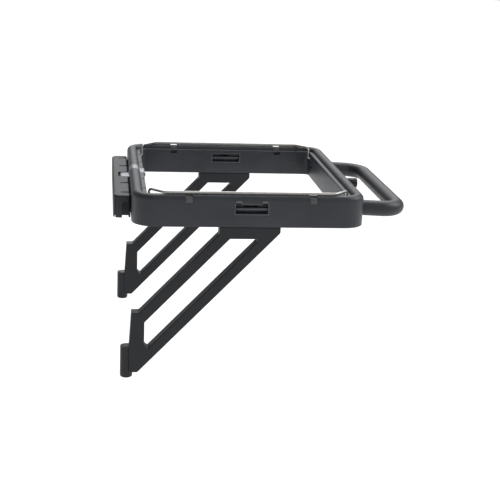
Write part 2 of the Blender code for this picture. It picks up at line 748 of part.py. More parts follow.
def build_clips(fold):
    """The four saddle clips in the rim, each with a groove under the wire."""
    outer = RIM_RADIUS - GAP
    floor = RIM_RADIUS - CLIP_GROOVE
    inner = floor - CLIP_WALL
    for name, side in SIDES:
        centre = (side * (RING_SIDE - RIM_RADIUS), RIM_CENTRE_Z)
        ends = (CLIP_GROOVE_OUTER, CLIP_GROOVE_INNER)[::side]
        start, end = 90 - ends[0], 90 + ends[1]
        outline = [(centre[0] + outer, clip_foot())] + arc(centre, outer, 0, start, 5)
        outline += arc(centre, floor, start, end, 5)
        outline += arc(centre, outer, end, 180, 5) + [(centre[0] - outer, clip_foot())]
        outline += [(centre[0] - inner, clip_foot())] + arc(centre, inner, 180, 0, 8)
        outline += [(centre[0] + inner, clip_foot())]
        for place, x in clip_places():
            clip = prism(outline, x - CLIP_WIDTH / 2, x + CLIP_WIDTH / 2, "X")
            add_object(f"{name}_{place}_clip", clip, GREY_PLASTIC, fold)


# ---------------------------------------------------------------- side latches

def latch_window(side, outer):
    """The opening in the outer or the inner wall that a bezel fills."""
    inset = (-RING_WALL, 2 * RING_WALL) if outer else (RAIL_WIDTH - 2 * RING_WALL,
                                                       RAIL_WIDTH + RING_WALL)
    return across(LATCH_X, side, inset[0], inset[1], LATCH_Z, LATCH_Z + LATCH_HEIGHT,
                  LATCH_WIDTH)


def latch_tab(side, end, spare):
    """One of the outer bezel's two ears above its window, or with a spare the notch for it."""
    x = LATCH_X + end * (LATCH_WIDTH / 2 - TAB_WIDTH / 2 - RING_WALL)
    top = LATCH_Z + LATCH_HEIGHT
    return across(x, side, -spare, RING_WALL + spare, top - BEZEL_LIP, top + TAB_HEIGHT + spare,
                  TAB_WIDTH + 2 * spare)


def build_latches(fold):
    """Both side latches: two bezels, a rocking lever, its pin and its spring."""
    pin_z = LATCH_Z + LATCH_HEIGHT - BEZEL_LIP - LEVER_PIN_DROP
    pin_y = RING_SIDE - RAIL_WIDTH / 2
    for name, side in SIDES:
        for place, inset in (("outer", 0.0), ("inner", RAIL_WIDTH - RING_WALL)):
            bezel = add_object(f"{name}_{place}_bezel",
                               across(LATCH_X, side, inset, inset + RING_WALL,
                                      LATCH_Z + GAP, LATCH_Z + LATCH_HEIGHT - GAP,
                                      LATCH_WIDTH - 2 * GAP), BLACK_PLASTIC, fold)
            combine(bezel, across(LATCH_X, side, inset - RING_WALL, inset + 2 * RING_WALL,
                                  LATCH_Z + BEZEL_LIP, LATCH_Z + LATCH_HEIGHT - BEZEL_LIP,
                                  LATCH_WIDTH - 2 * BEZEL_LIP))
            if place == "outer":
                for end in (-1, 1):
                    combine(bezel, latch_tab(side, end, 0.0), "UNION")
        axis = (side * pin_y, pin_z)
        half = LATCH_WIDTH / 2 - BEZEL_LIP
        pin = cylinder("X", axis, LEVER_PIN_RADIUS, LATCH_X - half, LATCH_X + half, 12)
        add_object(f"{name}_latch_pin", pin, WHITE_METAL, fold)

        pivot = axis_empty(f"{name}_latch_axis", (LATCH_X, axis[0], axis[1]), fold)
        build_lever(name, axis, pivot)

        spring = tube(coil(LATCH_X - SPRING_START, axis), SPRING_WIRE, steps=6)
        add_object(f"{name}_latch_spring", spring, WHITE_METAL, fold)


def build_lever(name, axis, pivot):
    """A lever: a hub with a pocket for the spring, finger bars, a shutter and a catch."""
    hub = LEVER_HUB
    reach = RAIL_WIDTH / 2 - RING_WALL - RUNNING
    half = LATCH_WIDTH / 2 - LEVER_SIDE
    low, high = LATCH_X - half, LATCH_X + half
    bar_z = axis[1] - LEVER_BAR_DROP
    bar_half = LEVER_BAR_HEIGHT / 2
    lever = add_object(f"{name}_latch_lever", cylinder("X", axis, hub, low, high, 16),
                       BLACK_PLASTIC, pivot)
    bars = box((low + RUNNING, axis[0] - reach, bar_z - bar_half),
               (high - RUNNING, axis[0] + reach, bar_z + bar_half))
    combine(lever, bars, "UNION")
    shutter = box((low + 2 * RUNNING, axis[0] - LEVER_PIN_RADIUS, LATCH_Z),
                  (high - 2 * RUNNING, axis[0] + LEVER_PIN_RADIUS, bar_z))
    combine(lever, shutter, "UNION")
    catch_foot = RING_BOTTOM + RUNNING
    catch = box((LATCH_X - hub * 2, axis[0] - hub / 2, catch_foot),
                (LATCH_X + hub * 2, axis[0] + hub / 2, bar_z))
    combine(lever, catch, "UNION")
    combine(lever, cylinder("X", axis, LEVER_PIN_RADIUS + GAP, low - hub, high + hub, 12))
    spring_room = SPRING_RADIUS + SPRING_WIRE + RUNNING
    spring_end = LATCH_X - SPRING_START + SPRING_TURNS * SPRING_PITCH
    combine(lever, box((LATCH_X - SPRING_START - 2 * SPRING_WIRE, axis[0] - spring_room,
                        axis[1] - spring_room),
                       (spring_end + 2 * SPRING_WIRE, axis[0] + spring_room, axis[1] + 2 * hub)))


def coil(start, axis):
    """Points of the spring's helix round an axis along X."""
    per_turn = 10
    points = []
    for i in range(SPRING_TURNS * per_turn + 1):
        angle = 2 * math.pi * i / per_turn
        points.append(Vector((start + SPRING_PITCH * i / per_turn,
                              axis[0] + SPRING_RADIUS * math.cos(angle),
                              axis[1] + SPRING_RADIUS * math.sin(angle))))
    return points


# ---------------------------------------------------------------- knob

def build_knob(fold):
    """The ribbed knob on its stud, and the nut inside the rail."""
    z = RING_BOTTOM + KNOB_Z
    spot = (KNOB_Y, z)
    pivot = axis_empty("knob_axis", (RING_FRONT, KNOB_Y, z), fold)
    outline = []
    steps = KNOB_FLUTES * 4
    for i in range(steps):
        angle = 2 * math.pi * i / steps
        dip = KNOB_FLUTE_DEPTH * (1 - math.cos(KNOB_FLUTES * angle)) / 2
        radius = KNOB_RADIUS - dip
        outline.append((KNOB_Y + radius * math.cos(angle), z + radius * math.sin(angle)))
    low = RING_FRONT + RUNNING
    knob = add_object("knob", prism(outline, low, low + KNOB_LENGTH, "X"), BLACK_PLASTIC, pivot)
    stud_end = low + KNOB_STUD_REACH
    combine(knob, cylinder("X", spot, STUD_RADIUS + GAP, low - GAP, stud_end + GAP, 16))
    inside = RING_FRONT - RING_WALL - GAP
    nut_low = inside - KNOB_NUT_HEIGHT
    stud = cylinder("X", spot, STUD_RADIUS, nut_low - STUD_RADIUS / 2, stud_end, 16)
    add_object("knob_stud", stud, WHITE_METAL, fold)
    add_nut("knob_nut", spot, 2 * STUD_RADIUS, STUD_RADIUS, nut_low, inside, fold)


# ---------------------------------------------------------------- braces

def brace_line(x_at_web, z):
    """X of a diagonal edge at height z, from its X at the cut-out's top."""
    web_low = RING_BOTTOM - WEB_HEIGHT
    return x_at_web + BRACE_SLOPE * (z - web_low)


def brace_outlines():
    """The brace's outline and its cut-out, as (x, z) pairs."""
    web_low = RING_BOTTOM - WEB_HEIGHT
    tip_x = BRACE_UPRIGHT_X + BRACE_REACH
    tip_low = BRACE_TOP - BRACE_TIP
    lower = tip_x - BRACE_SLOPE * (tip_low - web_low)
    back = BRACE_UPRIGHT_X
    cut_back = back + BRACE_UPRIGHT
    upright_top = RING_BOTTOM - BRACE_UPRIGHT_TOP
    upper_edge = back + UPPER_BAR / 2 - brace_line(0.0, upright_top)
    cut_lower = lower - LOWER_BAR
    cut_upper = upper_edge + UPPER_BAR
    shoulder = upper_edge + BRACE_SHOULDER
    outline = [
        (back, upright_top),
        (brace_line(upper_edge, upright_top), upright_top),
        (shoulder, web_low + (shoulder - upper_edge) / BRACE_SLOPE),
        (shoulder, BRACE_TOP),
        (tip_x, BRACE_TOP),
        (tip_x, tip_low),
        (brace_line(lower, BRACE_FOOT), BRACE_FOOT),
        (back - BRACE_FLARE, BRACE_FOOT),
        (back - BRACE_FLARE, BRACE_FOOT - BARREL_BELOW + BARREL_LENGTH),
    ]
    cut_foot = web_low - (cut_lower - cut_back) / BRACE_SLOPE
    cut_head = web_low - (cut_upper - cut_back) / BRACE_SLOPE
    bevel = BRACE_CUT_BEVEL
    cut_out = [
        (cut_upper, web_low),
        (cut_lower, web_low),
        (cut_back + bevel, cut_foot + bevel / BRACE_SLOPE),
        (cut_back, cut_foot + bevel * 2),
        (cut_back, cut_head),
    ]
    return outline, cut_out


def build_braces():
    """The two braces on their barrels, with bushes, pivot pins and striker plates."""
    outline, cut_out = brace_outlines()
    barrel_low = BRACE_FOOT - BARREL_BELOW
    barrel_high = barrel_low + BARREL_LENGTH
    for name, side in SIDES:
        y = side * BRACE_Y
        spot = (BARREL_X, y)
        pivot = axis_empty(f"{name}_brace_axis", (BARREL_X, y, barrel_low))
        half = BRACE_THICKNESS / 2
        plate = prism(outline, y - half, y + half)
        brace = add_object(f"{name}_brace", plate, BLACK_PLASTIC, pivot)
        combine(brace, prism(cut_out, y - BRACE_THICKNESS, y + BRACE_THICKNESS))
        smooth_edges(brace, BRACE_EDGE, 2)
        combine(brace, barrel_solid(spot, barrel_low, barrel_high), "UNION")
        neck = box((BARREL_X, y - half / 2, BRACE_FOOT + RING_WALL),
                   (BRACE_UPRIGHT_X + RING_WALL, y + half / 2, barrel_high - RING_WALL))
        combine(brace, neck, "UNION")
        floor = barrel_low + 2 * RING_WALL
        combine(brace, cylinder("Z", spot, BUSH_OUTER + GAP, floor, barrel_high + GAP, 24))

        low_bush = (floor + GAP, floor + GAP + BUSH_LENGTH)
        high_bush = (barrel_high - BUSH_LENGTH, barrel_high)
        for place, span in (("lower", low_bush), ("upper", high_bush)):
            bush = sleeve("Z", spot, BUSH_OUTER, PIN_RADIUS + GAP, span[0], span[1], 24)
            add_object(f"{name}_{place}_bush", bush, GREY_PLASTIC, pivot)
        pin = cylinder("Z", spot, PIN_RADIUS, floor + GAP, barrel_high, 20)
        add_object(f"{name}_pivot_pin", pin, WHITE_METAL)
        build_striker(name, y, brace, pivot)


def barrel_solid(spot, low, high):
    """The barrel, with a rounded foot."""
    bm = bmesh.new()
    steps = 24
    profile = arc((BARREL_RADIUS - BARREL_ROUND, low + BARREL_ROUND), BARREL_ROUND, -90, 0, 2)
    profile.append((BARREL_RADIUS, high))
    loops = []
    for radius, z in profile:
        loops.append([bm.verts.new((a, b, z)) for a, b in circle(spot, radius, steps)])
    bridge(bm, loops)
    bm.faces.new(loops[0][::-1])
    bm.faces.new(loops[-1])
    bmesh.ops.recalc_face_normals(bm, faces=bm.faces)
    return bm


def build_striker(name, y, brace, pivot):
    """The steel plate let into the brace's top, where the latch's catch rests, and its screws."""
    length = STRIKER_LENGTH
    width = STRIKER_WIDTH
    top = BRACE_TOP - GAP
    seat = top - STRAP_THICKNESS
    low = (LATCH_X - length / 2, y - width / 2, seat)
    high = (LATCH_X + length / 2, y + width / 2, top)
    combine(brace, box((low[0] - GAP, low[1] - GAP, seat - GAP),
                       (high[0] + GAP, high[1] + GAP, BRACE_TOP + RING_WALL)))
    striker = add_object(f"{name}_striker", box(low, high), ZINC, pivot)
    for place, x in (("rear", LATCH_X - length / 3), ("front", LATCH_X + length / 3)):
        hole = (x, y)
        depth = seat - STRIKER_SCREW_DEPTH
        combine(striker, cylinder("Z", hole, SCREW_RADIUS + GAP, seat - GAP, top + GAP, 12))
        combine(brace, cylinder("Z", hole, SCREW_RADIUS + GAP, depth - GAP, seat + GAP, 12))
        screw = cylinder("Z", hole, SCREW_RADIUS, depth, top, 12)
        add_object(f"{name}_{place}_striker_screw", screw, WHITE_METAL, pivot)


# ---------------------------------------------------------------- assembly

def main():
    clear_scene()
    build_hinge_block()
    build_hinge_rod()
    fold = axis_empty("ring_fold_axis", (HINGE_X, 0.0, HINGE_Z))
    build_ring_frame(fold)
    build_centre_strap(fold)
    build_handle(fold)
    build_bails(fold)
    build_clips(fold)
    build_latches(fold)
    build_knob(fold)
    build_braces()


main()
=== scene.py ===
import logging
import math
from dataclasses import dataclass
from enum import Enum
from typing import Any, Sequence

import bmesh
import bpy
import numpy as np
from mathutils import Matrix, Vector
from mathutils.geometry import tessellate_polygon


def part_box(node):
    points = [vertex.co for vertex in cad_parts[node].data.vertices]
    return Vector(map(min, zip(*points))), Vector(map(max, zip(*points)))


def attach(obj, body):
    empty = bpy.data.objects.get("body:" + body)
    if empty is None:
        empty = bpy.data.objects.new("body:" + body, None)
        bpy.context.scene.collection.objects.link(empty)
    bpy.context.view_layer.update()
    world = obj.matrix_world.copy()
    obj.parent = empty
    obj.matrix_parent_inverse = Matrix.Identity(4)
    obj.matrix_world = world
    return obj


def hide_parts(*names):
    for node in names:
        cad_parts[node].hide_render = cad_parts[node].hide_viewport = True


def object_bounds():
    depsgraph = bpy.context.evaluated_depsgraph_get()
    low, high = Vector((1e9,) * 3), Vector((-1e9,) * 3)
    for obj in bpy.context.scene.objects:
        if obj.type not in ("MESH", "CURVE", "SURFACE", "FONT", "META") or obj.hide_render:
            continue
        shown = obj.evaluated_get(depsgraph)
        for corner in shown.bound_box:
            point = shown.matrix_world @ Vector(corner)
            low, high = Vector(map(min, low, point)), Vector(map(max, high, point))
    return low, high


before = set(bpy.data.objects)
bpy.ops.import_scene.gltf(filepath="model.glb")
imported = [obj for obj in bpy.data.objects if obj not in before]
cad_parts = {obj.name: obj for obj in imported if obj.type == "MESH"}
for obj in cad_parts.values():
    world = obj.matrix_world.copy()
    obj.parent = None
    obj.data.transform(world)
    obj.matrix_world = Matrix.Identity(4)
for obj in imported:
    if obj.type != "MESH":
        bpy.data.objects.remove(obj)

Array = np.ndarray
Pair = tuple[float, float]
Triple = tuple[float, float, float]
Thing = bpy.types.Object

LOG = logging.getLogger("carrier")
CAD_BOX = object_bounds()
GAP = 0.0003        # the clearance between two solids that fit together
CRISP = 0.0004      # the rounding of a small part's edges
BLUNT = 0.0005      # the rounding of a lug's or a lever's edges
SOFT = 0.0008       # the rounding of a small notch's or slot's corners


class Side(Enum):
    """The near side of the carrier lies at -Y, the far side at +Y."""

    NEAR = -1
    FAR = 1

    @property
    def label(self) -> str:
        """The word that this side's nodes start with."""
        return self.name.lower()


class End(Enum):
    """The rear end lies against the trolley, the front end carries the handle."""

    REAR = 1
    FRONT = -1

    @property
    def label(self) -> str:
        """The word that this end's nodes carry."""
        return self.name.lower()


class Axis(Enum):
    """A world axis, with the places of the two plane numbers and of the depth along it."""

    X = (1, 2, 0)
    Y = (0, 2, 1)
    Z = (0, 1, 2)

    def place(self, plane: Array, depth: Array | float) -> Array:
        """Put pairs in the plane, and depths along the axis, on their world axes.

        Args:
            plane: Pairs, with the pair on the last axis of the array.
            depth: One depth, or depths that match the pairs.

        Returns:
            Points in space, in an array one wider than the pairs.
        """
        first, second, along = self.value
        spots = np.empty(plane.shape[:-1] + (3,))
        spots[..., first] = plane[..., 0]
        spots[..., second] = plane[..., 1]
        spots[..., along] = depth
        return spots


# ------------------------------------------------------------------ curves and surfaces

def unit(vectors: Array) -> Array:
    """Scale each vector on the last axis to length one."""
    return vectors / np.linalg.norm(vectors, axis=-1, keepdims=True)


def arc(centre: Pair, radius: float, start: float, end: float, steps: int) -> Array:
    """Points on an arc: centre + radius (cos a, sin a), with a evenly spaced in degrees.

    Args:
        centre: The arc's centre.
        radius: Its radius.
        start: The first angle, from the first axis towards the second.
        end: The last angle.
        steps: How many steps lie between them.

    Returns:
        An array of steps + 1 pairs.
    """
    angles = np.radians(np.linspace(start, end, steps + 1))
    return np.asarray(centre) + radius * np.column_stack((np.cos(angles), np.sin(angles)))


def circle(centre: Pair, radius: float, steps: int = 48) -> Array:
    """Points round a full circle."""
    return arc(centre, radius, 0.0, 360.0, steps)[:-1]


def rounded(corners: Any, radii: Any, steps: int = 6, closed: bool = True) -> Array:
    """Replace each corner of a line with an arc that touches both of its legs.

    The arc's centre is on the corner's bisector at radius / sin(half angle). Its points turn
    from one touching point to the other by spherical interpolation about that centre.

    Args:
        corners: The line's corners, in the plane or in space.
        radii: One radius, or one for each corner that is rounded.
        steps: Steps of each arc.
        closed: Whether the line closes; if not, its two ends stay as they are.

    Returns:
        The points of the rounded line.
    """
    spots = np.asarray(corners, float)
    inner = spots if closed else spots[1:-1]
    before = np.roll(spots, 1, axis=0) if closed else spots[:-2]
    after = np.roll(spots, -1, axis=0) if closed else spots[2:]
    radius = np.broadcast_to(np.asarray(radii, float), len(inner))[:, None]
    back, ahead = unit(before - inner), unit(after - inner)
    half = np.arccos(np.clip((back * ahead).sum(1, keepdims=True), -1.0, 1.0)) / 2
    centre = inner + unit(back + ahead) * radius / np.sin(half)
    start = inner + back * radius / np.tan(half) - centre
    end = inner + ahead * radius / np.tan(half) - centre
    turn = math.pi - 2 * half
    share = np.linspace(0.0, 1.0, steps + 1)
    first = (np.sin((1 - share) * turn) / np.sin(turn))[..., None]
    second = (np.sin(share * turn) / np.sin(turn))[..., None]
    curve = centre[:, None] + first * start[:, None] + second * end[:, None]
    curve = curve.reshape(-1, spots.shape[1])
    return curve if closed else np.vstack((spots[:1], curve, spots[-1:]))


def rectangle(low: Pair, high: Pair, radius: float = 0.0, steps: int = 5) -> Array:
    """A rectangle's outline, its corners rounded where a radius is given."""
    corners = [low, (high[0], low[1]), high, (low[0], high[1])]
    return rounded(corners, radius, steps) if radius else np.array(corners, float)


def anticlockwise(outline: Array) -> Array:
    """Turn an outline the other way round if its signed area is negative.

    Args:
        outline: Its points, in order.

    Returns:
        The same points, anticlockwise.
    """
    x, y = outline.T
    area = (x * np.roll(y, -1) - np.roll(x, -1) * y).sum()
    return outline if area > 0 else outline[::-1]


def inward(outline: Array) -> Array:
    """How far each point of an anticlockwise outline goes for an inset of one.

    At each point it is the sum of the two edges' normals over one plus their dot product.

    Args:
        outline: An anticlockwise outline.

    Returns:
        One shift for each of its points.
    """
    along = unit(np.roll(outline, -1, axis=0) - outline)
    after = np.column_stack((-along[:, 1], along[:, 0]))
    before = np.roll(after, 1, axis=0)
    return (before + after) / (1 + (before * after).sum(1, keepdims=True))


def edge_rounding(edge: float, low: float, high: float, steps: int = 4) -> tuple[Array, Array]:
    """Insets and depths of a wall whose two rims are rounded.

    For a from 90 to 0 degrees the inset is edge (1 - cos a) and the depth from the end is
    edge (1 - sin a); the other rim is the mirror of it.

    Args:
        edge: The radius of both rims.
        low: The depth of the first rim.
        high: The depth of the other.
        steps: Steps round each rim.

    Returns:
        The insets, and the depths that go with them.
    """
    angles = np.linspace(math.pi / 2, 0.0, steps + 1)
    inset = edge * (1 - np.cos(angles))
    depth = edge * (1 - np.sin(angles))
    return np.append(inset, inset[::-1]), np.append(low + depth, (high - depth)[::-1])


def wall(outline: Array, low: float, high: float, axis: Axis, edge: float = 0.0,
         outwards: bool = False) -> Array:
    """Rings of points up a prism's wall, with rounded rims where an edge is given.

    Args:
        outline: The prism's outline.
        low: Where the wall starts along the axis.
        high: Where it ends.
        axis: The prism's axis.
        edge: The radius of both rims.
        outwards: Whether the rims open outwards, as a hole's do.

    Returns:
        Points by ring and by place in the ring.
    """
    outline = anticlockwise(outline)
    if not edge:
        return axis.place(np.stack((outline, outline)), np.array([[low], [high]]))
    insets, depths = edge_rounding(edge, low, high)
    shift = inward(outline) * (-1 if outwards else 1)
    return axis.place(outline + insets[:, None, None] * shift, depths[:, None])


def make(name: str, spots: Array, faces: list) -> Thing:
    """Make an object of points and faces, its normals turned outwards.

    Args:
        name: The object's name.
        spots: Points, one to a row.
        faces: Lists of the points' numbers.

    Returns:
        The new object, at the origin.
    """
    mesh = bpy.data.meshes.new(name)
    mesh.from_pydata(spots.reshape(-1, 3), [], faces)
    bm = bmesh.new()
    bm.from_mesh(mesh)
    bmesh.ops.remove_doubles(bm, verts=bm.verts, dist=1e-6)
    bmesh.ops.recalc_face_normals(bm, faces=bm.faces)
    bm.to_mesh(mesh)
    bm.free()
    piece = bpy.data.objects.new(name, mesh)
    bpy.context.scene.collection.objects.link(piece)
    return piece


def quads(rows: int, columns: int, start: int = 0, loop: bool = False) -> list:
    """Faces between neighbouring rings of points; each ring closes on itself.

    Args:
        rows: How many rings there are.
        columns: Points in each ring.
        start: The number of the first point.
        loop: Whether the last ring joins the first.

    Returns:
        Four point numbers for each face.
    """
    index = start + np.arange(rows * columns).reshape(rows, columns)
    above = np.roll(index, -1, axis=0)
    stack = (index, np.roll(index, -1, axis=1), np.roll(above, -1, axis=1), above)
    faces = np.stack(stack, axis=-1)
    return (faces if loop else faces[:-1]).reshape(-1, 4).tolist()


def shell(name: str, rings: Array, loop: bool = False) -> Thing:
    """A closed surface through rings of points, its ends capped unless it loops.

    Args:
        name: The object's name.
        rings: Points by ring and by place in the ring.
        loop: Whether the last ring joins the first.

    Returns:
        The new object.
    """
    rows, columns = rings.shape[:2]
    faces = quads(rows, columns, loop=loop)
    if not loop:
        faces += [list(range(columns)), list(range((rows - 1) * columns, rows * columns))]
    return make(name, rings, faces)


def prism(name: str, outline: Array, low: float, high: float, axis: Axis,
          edge: float = 0.0) -> Thing:
    """A solid with one outline all along an axis, its rims rounded where an edge is given."""
    return shell(name, wall(outline, low, high, axis, edge))


def frame_plate(name: str, outline: Array, hole: Array, low: float, high: float,
                axis: Axis, edge: float) -> Thing:
    """A flat plate with one hole through it and all four of its rims rounded.

    Args:
        name: The object's name.
        outline: The plate's outline.
        hole: The hole's outline.
        low: Where the plate starts along the axis.
        high: Where it ends.
        axis: The axis across the plate.
        edge: The radius of its rims.

    Returns:
        The new object.
    """
    outer = wall(outline, low, high, axis, edge)
    inner = wall(hole, low, high, axis, edge, outwards=True)
    faces = quads(*outer.shape[:2]) + quads(*inner.shape[:2], start=outer[..., 0].size)
    first, second = outer.shape[1], inner.shape[1]
    for row in (0, -1):
        loops = [[Vector(spot) for spot in outer[row]], [Vector(spot) for spot in inner[row]]]
        numbers = np.arange(first + second)
        numbers[:first] += (outer.shape[0] - 1) * first if row else 0
        base = outer[..., 0].size + ((inner.shape[0] - 1) * second if row else 0)
        numbers[first:] += base - first
        faces += [[int(numbers[i]) for i in face] for face in tessellate_polygon(loops)]
    return make(name, np.vstack((outer.reshape(-1, 3), inner.reshape(-1, 3))), faces)


def turned(name: str, profile: Any, axis: Axis, centre: Pair, steps: int = 48) -> Thing:
    """A turned shape: each pair (radius, depth) of a closed profile goes round the axis.

    At angle t the point is centre + radius (cos t, sin t), at that depth along the axis.

    Args:
        name: The object's name.
        profile: Pairs of radius and depth.
        axis: The axis that it goes round.
        centre: Where the axis passes.
        steps: How many places there are round it.

    Returns:
        The new object.
    """
    radius, depth = np.asarray(profile, float).T
    angles = np.linspace(0.0, 2 * math.pi, steps, endpoint=False)
    ray = np.column_stack((np.cos(angles), np.sin(angles)))
    plane = np.asarray(centre) + radius[:, None, None] * ray
    return shell(name, axis.place(plane, depth[:, None]), loop=True)


def swept(path: Array, up: Triple, radius: float, steps: int) -> Array:
    """Rings of a round bar carried along a path.

    With t the path's direction, s = t x up and u = s x t, each made one long, the ring at a
    point is point + radius (cos a s + sin a u).

    Args:
        path: Points in space.
        up: A direction that the path never takes.
        radius: The bar's radius.
        steps: Points round the bar.

    Returns:
        Points by ring and by place in the ring.
    """
    along = unit(np.gradient(path, axis=0))
    across = unit(np.cross(along, np.asarray(up, float)))
    above = np.cross(across, along)
    angles = np.linspace(0.0, 2 * math.pi, steps, endpoint=False)[:, None]
    ring = np.cos(angles) * across[:, None] + np.sin(angles) * above[:, None]
    return path[:, None] + radius * ring


def carve(piece: Thing, cutters: Sequence[Thing], operation: str = "DIFFERENCE") -> None:
    """Cut solids out of a piece, or join them on, and keep the result as its own mesh.

    Args:
        piece: The piece that is cut.
        cutters: The solids, which are used up.
        operation: DIFFERENCE to cut, UNION to join.
    """
    group = bpy.data.collections.new("tools")
    for cutter in cutters:
        group.objects.link(cutter)
    modifier = piece.modifiers.new("cut", "BOOLEAN")
    modifier.operation = operation
    modifier.solver = "EXACT"
    modifier.operand_type = "COLLECTION"
    modifier.collection = group
    depsgraph = bpy.context.evaluated_depsgraph_get()
    result = bpy.data.meshes.new_from_object(piece.evaluated_get(depsgraph))
    piece.modifiers.clear()
    piece.data = result
    for cutter in cutters:
        bpy.data.objects.remove(cutter, do_unlink=True)
    bpy.data.collections.remove(group)


def soften(piece: Thing, width: float, segments: int = 2, angle: float = 50.0) -> None:
    """Round a piece's sharp edges and weight its normals towards its large faces.

    Args:
        piece: The piece.
        width: How wide the rounding is.
        segments: Its steps.
        angle: The angle in degrees above which an edge is rounded.
    """
    bevel = piece.modifiers.new("edges", "BEVEL")
    bevel.width = width
    bevel.segments = segments
    bevel.limit_method = "ANGLE"
    bevel.angle_limit = math.radians(angle)
    piece.modifiers.new("normals", "WEIGHTED_NORMAL").keep_sharp = True


# ------------------------------------------------------------------ shaders

class Signal:
    """A node's output, on which shader maths is written as plain expressions."""

    def __init__(self, graph: "Graph", output: bpy.types.NodeSocket) -> None:
        """Wrap one output of a graph's node."""
        self.graph = graph
        self.output = output

    def _maths(self, operation: str, first: Any, second: Any) -> "Signal":
        """Add a Math node that works on two values."""
        settings = {"operation": operation}
        return self.graph.node("ShaderNodeMath", settings, {0: first, 1: second})

    def __add__(self, other: Any) -> "Signal":
        """Sum."""
        return self._maths("ADD", self, other)

    def __radd__(self, other: Any) -> "Signal":
        """Sum with the number first."""
        return self._maths("ADD", other, self)

    def __sub__(self, other: Any) -> "Signal":
        """Difference."""
        return self._maths("SUBTRACT", self, other)

    def __rsub__(self, other: Any) -> "Signal":
        """Difference with the number first."""
        return self._maths("SUBTRACT", other, self)

    def __mul__(self, other: Any) -> "Signal":
        """Product."""
        return self._maths("MULTIPLY", self, other)

    def __rmul__(self, other: Any) -> "Signal":
        """Product with the number first."""
        return self._maths("MULTIPLY", other, self)

    def ramp(self, low: float, high: float) -> "Signal":
        """Rise smoothly from 0 at low to 1 at high.

        Args:
            low: The value that gives 0.
            high: The value that gives 1.

        Returns:
            The new signal.
        """
        settings = {"interpolation_type": "SMOOTHSTEP"}
        sockets = {"Value": self, "From Min": low, "From Max": high}
        return self.graph.node("ShaderNodeMapRange", settings, sockets)


class Graph:
    """A material's nodes, behind one Principled shader."""

    def __init__(self, name: str) -> None:
        """Start a material that holds only a Principled shader and its output.

        Args:
            name: The material's name.
        """
        self.material = bpy.data.materials.new(name)
        self.material.use_nodes = True
        self.tree = self.material.node_tree
        self.shader = self.tree.nodes["Principled BSDF"]
        self.place = self.node("ShaderNodeTexCoord", output="Object")

    def node(self, kind: str, settings: dict | None = None, sockets: dict | None = None,
             output: str | int = 0) -> Signal:
        """Add a node.

        Args:
            kind: The node's type.
            settings: Its own settings, set before its sockets.
            sockets: Values or signals, by the name or number of the input.
            output: The name or number of the output that is wanted.

        Returns:
            That output.
        """
        made = self.tree.nodes.new(kind)
        for key, value in (settings or {}).items():
            setattr(made, key, value)
        for key, value in (sockets or {}).items():
            self.put(made.inputs[key], value)
        return Signal(self, made.outputs[output])

    def put(self, target: bpy.types.NodeSocket, value: Any) -> None:
        """Link a signal to an input, or set a plain value on it.

        Args:
            target: The input.
            value: A signal, number, colour or vector.
        """
        if isinstance(value, Signal):
            self.tree.links.new(value.output, target)
        else:
            target.default_value = value

    def stretched(self, scale: Triple) -> Signal:
        """Object coordinates with each axis scaled by itself."""
        return self.node("ShaderNodeMapping", None, {"Vector": self.place, "Scale": scale})

    def noise(self, scale: float, detail: float = 2.0, vector: Signal | None = None,
              roughness: float = 0.5) -> Signal:
        """Cloudy noise from 0 to 1, about one feature to each 1 / scale metres.

        Args:
            scale: How fine it is.
            detail: How many finer layers it has.
            vector: Where it is read, the plain object coordinates if not given.
            roughness: How strong the finer layers are.

        Returns:
            The noise.
        """
        sockets = {"Vector": vector or self.place, "Scale": scale, "Detail": detail,
                   "Roughness": roughness}
        return self.node("ShaderNodeTexNoise", None, sockets)

    def blend(self, share: Any, first: Any, second: Any) -> Signal:
        """Mix two colours by a share."""
        sockets = {0: share, 6: first, 7: second}
        return self.node("ShaderNodeMix", {"data_type": "RGBA"}, sockets, output=2)

    def bump(self, height: Signal, depth: float, below: Signal | None = None) -> Signal:
        """Turn a height from 0 to 1 into a normal, with a full height of depth metres.

        Args:
            height: The height.
            depth: The full height in metres.
            below: A normal that it is laid over.

        Returns:
            The normal.
        """
        sockets: dict = {"Height": height, "Strength": 1.0, "Distance": depth}
        if below:
            sockets["Normal"] = below
        return self.node("ShaderNodeBump", None, sockets)


def tint(level: float, warmth: float = 0.0) -> tuple[float, float, float, float]:
    """A near-grey colour; positive warmth leans to red, negative to blue."""
    return (level * (1 + warmth / 2), level, level * (1 - warmth), 1.0)


@dataclass(frozen=True)
class Moulding:
    """Injection-moulded plastic with a fine spark texture, faint clouding and rubbed spots."""

    name: str
    level: float
    roughness: float
    grain_size: float = 0.0006
    grain_depth: float = 0.00002
    warmth: float = -0.26
    rubbed: float = 0.15
    shine: float = 0.32

    def material(self) -> bpy.types.Material:
        """Build the finish's nodes.

        Returns:
            The material.
        """
        graph = Graph(self.name)
        cloud = graph.noise(14.0, 4.0)
        grain = graph.noise(1 / self.grain_size, 3.0, roughness=0.65)
        scuffs = graph.noise(60.0, 6.0, graph.stretched((0.35, 1.0, 1.6)), 0.7).ramp(0.56, 0.74)
        body = graph.blend(cloud.ramp(0.3, 0.7), tint(self.level * 0.82, self.warmth),
                           tint(self.level * 1.18, self.warmth))
        worn = graph.blend(scuffs * self.rubbed, body, tint(self.level * 2.4 + 0.01, 0.0))
        graph.put(graph.shader.inputs["Base Color"], worn)
        gloss = self.roughness + 0.10 * (cloud - 0.5) + 0.08 * (grain - 0.5) - 0.06 * scuffs
        graph.put(graph.shader.inputs["Roughness"], gloss)
        waves = graph.bump(graph.noise(45.0, 2.0), 0.00004)
        graph.put(graph.shader.inputs["Normal"], graph.bump(grain, self.grain_depth, waves))
        graph.shader.inputs["Specular IOR Level"].default_value = self.shine
        return graph.material


